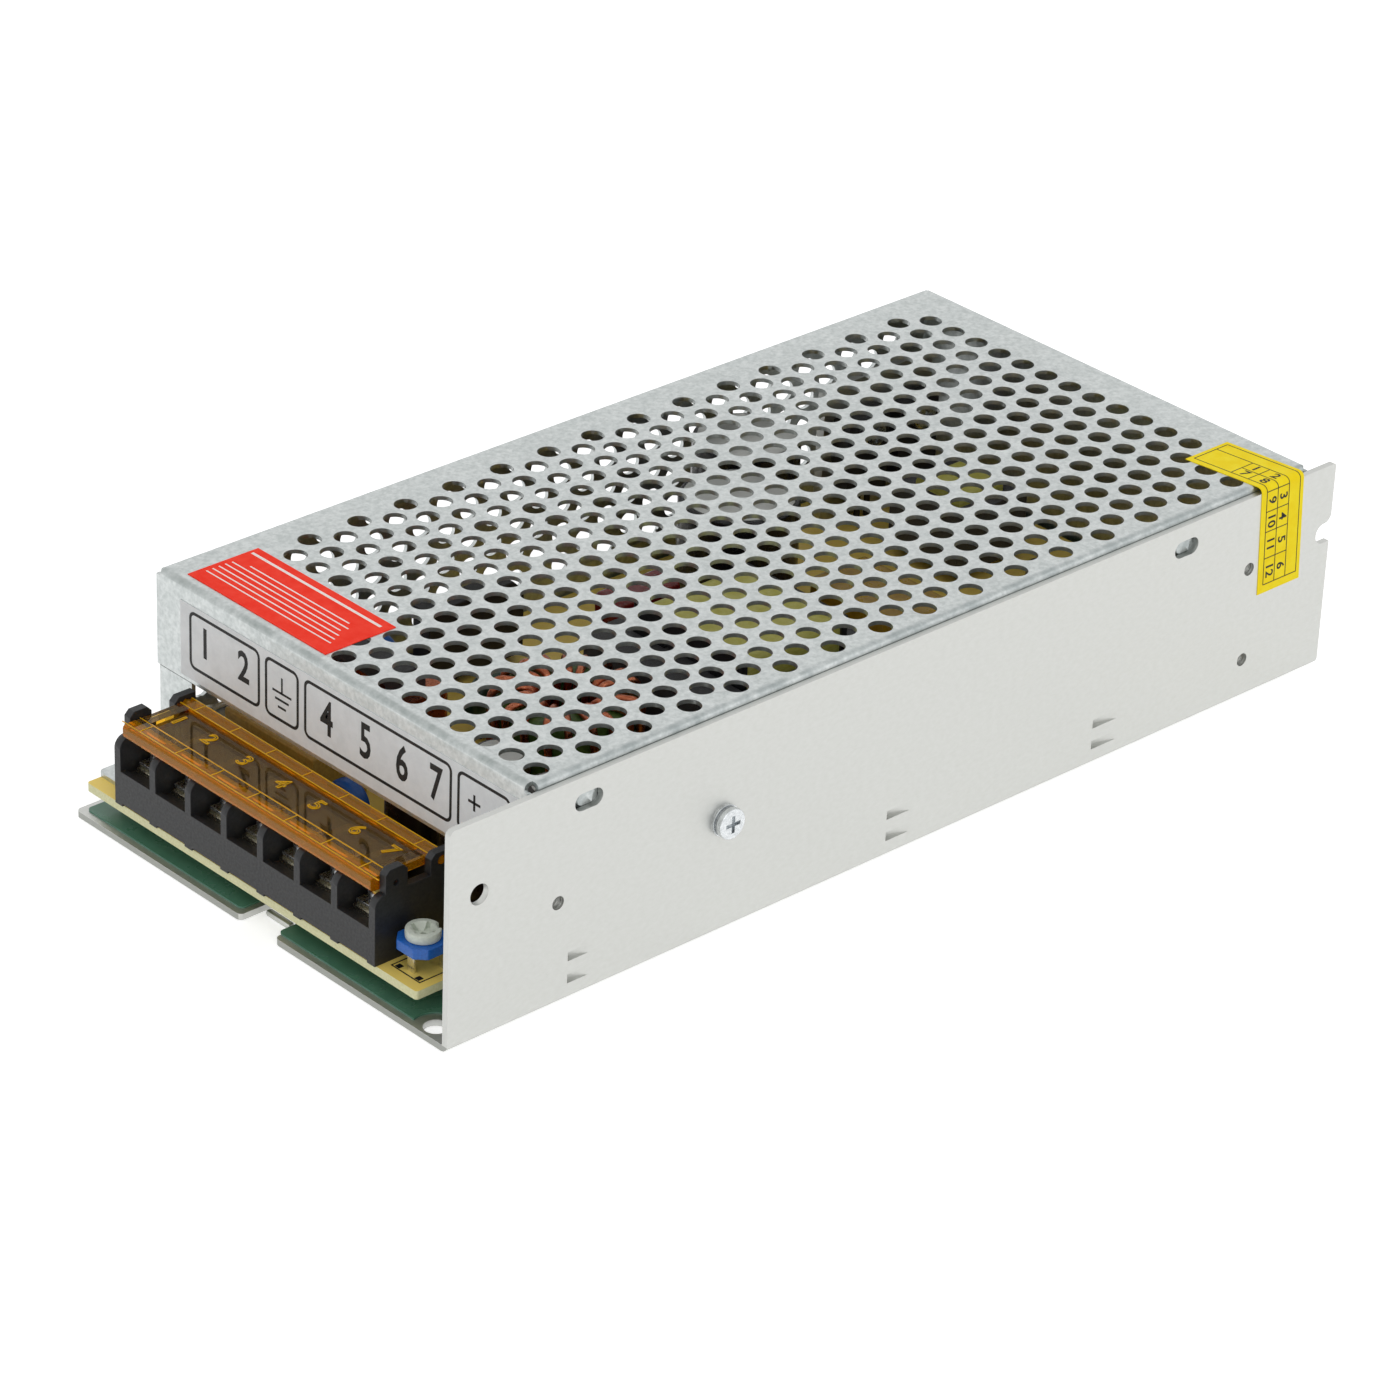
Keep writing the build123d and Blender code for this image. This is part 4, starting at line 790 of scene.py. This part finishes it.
# Its printed grid: two columns with figures, and a blank one beside them
GRID_LINE = 0.16
COLUMNS = (1.35, 4.25, 7.2, 10.1)
ROWS = (8.8, 12.5, 17.3, 21.4, 25.5, 30.9, 36.2)
TOP_LINE = 0.85
LONG_LINE = 5
MONTHS = (("7", "8", "9", "10", "11", "12"), ("1", "2", "3", "4", "5", "6"))
grid_lines = []
for x in COLUMNS:
    start = ROWS[0] if x == COLUMNS[1] else TOP_LINE
    grid_lines.append(((x - GRID_LINE / 2, start), (x + GRID_LINE / 2, ROWS[-1])))
for y in (TOP_LINE,) + ROWS:
    end = COLUMNS[3] if y in (TOP_LINE, ROWS[-1]) else COLUMNS[2]
    grid_lines.append(((COLUMNS[0], y - GRID_LINE / 2), (end, y + GRID_LINE / 2)))
label_prints = []
for low, high in grid_lines:
    steps = BEND_STEPS if high[1] - low[1] > LONG_LINE else 2
    label_prints.append(flat_grid(low, high, YELLOW_SHEET, PRINT_SHEET, steps))
for column, months in enumerate(MONTHS):
    for row, text in enumerate(months):
        digit = figure(text, 1.9, 1.1, weight=0.04)
        digit.scale = (1, -1, 1)
        bpy.ops.object.transform_apply(scale=True)
        digit.rotation_euler = (0, 0, math.radians(90))
        digit.location = ((COLUMNS[column] + COLUMNS[column + 1]) / 2 * MM,
                          (ROWS[row] + ROWS[row + 1]) / 2 * MM, (YELLOW_SHEET + PRINT_SHEET / 2) * MM)
        bpy.ops.object.transform_apply(location=True, rotation=True, scale=True)
        label_prints.append(digit)
settle(wrap(joined(label_prints)), "inspection_label_print", black_ink)


# Lid: raised figures over the seven poles, and ribs across and along its front bar and rear band
LID_TOP = 21.7
LID_RIM = 22.3
LID_FIGURES = (("1", 82.4), ("2", 74.0), ("3", 64.6), ("4", 54.8), ("5", 45.6), ("6", 35.3), ("7", 26.8))
LID_FIGURE_X = 10.3
POLES = 7
POLE_PITCH = 9.6
FIRST_RIB = 25.0
CROSS_RIBS = ((2.2, 5.3), (13.9, 16.4))
CROSS_WIDE = 0.22
LONG_RIBS = (2.3, 5.3, 13.9, 16.35)
LONG_HALF = 0.12
LID_MARGIN = 0.4
RIB_EDGE = 0.05
digits = [stand(figure(text, 3.0, 1.1, tube=0.11), (LID_FIGURE_X, y, LID_TOP + 0.06), TOP_RIGHT, TOP_UP)
          for text, y in LID_FIGURES]
settle(joined(digits), "lid_figures", amber_glint_lines, "lid")
ribs = []
for step in range(POLES):
    y = FIRST_RIB + POLE_PITCH * step
    for start, end in CROSS_RIBS:
        ribs.append(bar((start, y, LID_RIM - 0.06), (end, y + CROSS_WIDE, LID_RIM + 0.08), RIB_EDGE))
lid_near, lid_far = ((corner.y - CORNER.y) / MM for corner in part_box("terminal_lid"))
for x in LONG_RIBS:
    ribs.append(bar((x - LONG_HALF, lid_near + LID_MARGIN, LID_RIM - 0.08),
                    (x + LONG_HALF, lid_far - LID_MARGIN, LID_RIM + 0.05), RIB_EDGE))
settle(joined(ribs), "lid_ribs", amber_glint_lines, "lid")

# Board print around the trimmer: three sides of a frame, and a solid square in three of its corners
PRINT_LOW_X, PRINT_LOW_Y, PRINT_HIGH_X, PRINT_HIGH_Y = 4.4, 12.2, 10.6, 17.1
SQUARE_HALF = 0.55
board_prints = []
for x, y in ((PRINT_LOW_X, PRINT_LOW_Y), (PRINT_LOW_X, PRINT_HIGH_Y), (PRINT_HIGH_X, PRINT_LOW_Y)):
    board_prints.append(bar((x - SQUARE_HALF, y - SQUARE_HALF, BOARD_TOP),
                            (x + SQUARE_HALF, y + SQUARE_HALF, BOARD_TOP + PRINT_SHEET)))
for low, high in (((PRINT_LOW_X - 0.9, PRINT_LOW_Y - 1.2), (PRINT_LOW_X - 0.65, PRINT_HIGH_Y + 1.2)),
                  ((PRINT_LOW_X - 0.9, PRINT_LOW_Y - 1.2), (PRINT_HIGH_X, PRINT_LOW_Y - 0.95)),
                  ((PRINT_LOW_X - 0.9, PRINT_HIGH_Y + 0.95), (PRINT_HIGH_X, PRINT_HIGH_Y + 1.2))):
    board_prints.append(bar(low + (BOARD_TOP,), high + (BOARD_TOP + PRINT_SHEET,)))
settle(joined(board_prints), "board_print", black_ink)


# Tapped holes: a collar drawn inward from the sheet, with its thread
TAPPED_SPOTS = ((23.1, 19.4), (186.6, 26.5), (186.9, 8.1))
THREAD_RADIUS = 1.22
THREAD_START = 0.08
THREAD_STEPS = 10
THREAD_STEP = 0.25
THREAD_RIDGE = 1.12


def tapped_collar(x, z):
    """Collar with ridges inside, a flat end and a plain outer wall."""
    deselect()
    bpy.ops.mesh.primitive_circle_add(vertices=24, radius=THREAD_RADIUS * MM,
                                      location=place(x, THREAD_START, z), rotation=(math.radians(90), 0, 0))
    piece = bpy.context.object
    bpy.ops.object.mode_set(mode="EDIT")
    bpy.ops.mesh.select_all(action="SELECT")
    for step in range(THREAD_STEPS):
        factor = THREAD_RIDGE if step % 2 == 0 else 1 / THREAD_RIDGE
        bpy.ops.mesh.extrude_region_move(TRANSFORM_OT_translate={"value": (0, THREAD_STEP * MM, 0)})
        bpy.ops.transform.resize(value=(factor, 1, factor))
    for grow, shift in ((1.55, 0.0), (1.0, -1.5)):
        bpy.ops.mesh.extrude_region_move(TRANSFORM_OT_translate={"value": (0, shift * MM, 0)})
        bpy.ops.transform.resize(value=(grow, 1, grow))
    bpy.ops.mesh.select_all(action="SELECT")
    bpy.ops.mesh.normals_make_consistent(inside=False)
    bpy.ops.object.mode_set(mode="OBJECT")
    bpy.ops.object.shade_smooth_by_angle(angle=math.radians(50))
    return piece


collars = [tapped_collar(x, z) for x, z in TAPPED_SPOTS]
settle(joined(collars), "tapped_collars", aluminium)

# Capacitor cans: bare aluminium tops inside the sleeve's rim. Each spot has x, y, radius and height.
BULK_CANS = ((124.0, 66.5, 11.0, 28.0), (141.5, 83.3, 10.0, 28.0))
OUTPUT_CANS = ((27.0, 13.5, 5.0, 20.0), (27.0, 27.0, 5.0, 20.0), (27.0, 40.5, 5.0, 20.0),
               (39.5, 19.5, 5.0, 20.0), (39.5, 33.5, 5.0, 20.0))
CONTROL_CANS = ((160.0, 30.0, 3.2, 11.0), (172.0, 36.0, 3.2, 11.0), (184.0, 24.0, 4.0, 12.0))
CAN_SUNK, CAN_RIM, CAN_PLATE = 0.2, 0.9, 0.35
tops = [disc((x, y, BOARD_TOP + height - CAN_SUNK), radius - CAN_RIM, CAN_PLATE, edge=0.08)
        for x, y, radius, height in BULK_CANS + OUTPUT_CANS + CONTROL_CANS]
settle(joined(tops), "can_tops", aluminium)


# Floor, light and camera


def seen_rays(tree):
    """Socket that is 1 for rays from the camera, mirrored ones and ones through clear pieces."""
    path = add(tree, "ShaderNodeLightPath").outputs
    seen = maths(tree, "MAXIMUM", path["Is Camera Ray"], path["Is Glossy Ray"])
    return maths(tree, "MAXIMUM", seen, path["Is Transmission Ray"])


FLOOR_GLOW = 0.5
SKY_LIGHT = 0.69
WHITE = (1, 1, 1, 1)
deselect()
bpy.ops.mesh.primitive_plane_add(size=8.0, location=(0, 0, -0.0002))
floor = bpy.context.object
floor.name = "floor"
floor_paint = grained(finish("white_studio_floor", Specular_IOR_Level=0.1), "#f4f4f4", "#f8f8f8", 60.0,
                      (0.8, 0.9))
floor_tree = floor_paint.node_tree
floor_glow = maths(floor_tree, "MULTIPLY", seen_rays(floor_tree), FLOOR_GLOW)
floor_shader = floor_tree.nodes["Principled BSDF"]
floor_shader.inputs["Emission Color"].default_value = WHITE
floor_tree.links.new(floor_glow, floor_shader.inputs["Emission Strength"])
floor.data.materials.append(floor_paint)

world = bpy.data.worlds.new("studio")
bpy.context.scene.world = world
world.use_nodes = True
sky = world.node_tree
sky_level = ranged(sky, seen_rays(sky), To_Min=SKY_LIGHT, To_Max=1.0)
sky.nodes["Background"].inputs["Color"].default_value = WHITE
sky.links.new(sky_level, sky.nodes["Background"].inputs["Strength"])


def soft_box(name, spot, aim, size, power):
    """Area lamp that faces a point."""
    deselect()
    bpy.ops.object.light_add(type="AREA", location=spot)
    lamp = bpy.context.object
    lamp.name = name
    lamp.data.size = size
    lamp.data.energy = power
    lamp.rotation_euler = (Vector(aim) - Vector(spot)).to_track_quat("-Z", "Y").to_euler()
    return lamp


soft_box("key_light", (-0.55, -0.75, 0.9), (0, 0, 0), 1.0, 2.2)
soft_box("fill_light", (0.7, -0.7, 0.6), (0, 0, 0), 0.7, 0.8)

CAMERA_SPOT = (-0.585347, -0.607564, 0.471831)
CAMERA_TURN = -43.6681
CAMERA_TILT = 28.7931
CAMERA_ROLL = 2.2932
CAMERA_LENS = 141.3166
deselect()
bpy.ops.object.camera_add(location=CAMERA_SPOT)
camera = bpy.context.object
aim = turned(CAMERA_TURN, "Z") @ turned(90 - CAMERA_TILT, "X") @ turned(CAMERA_ROLL, "Z")
camera.rotation_euler = aim.to_euler()
camera.data.sensor_fit = "HORIZONTAL"
camera.data.sensor_width = 36.0
camera.data.lens = CAMERA_LENS
camera.data.clip_start = 0.01
bpy.context.scene.camera = camera
bpy.context.scene.view_settings.view_transform = "Standard"
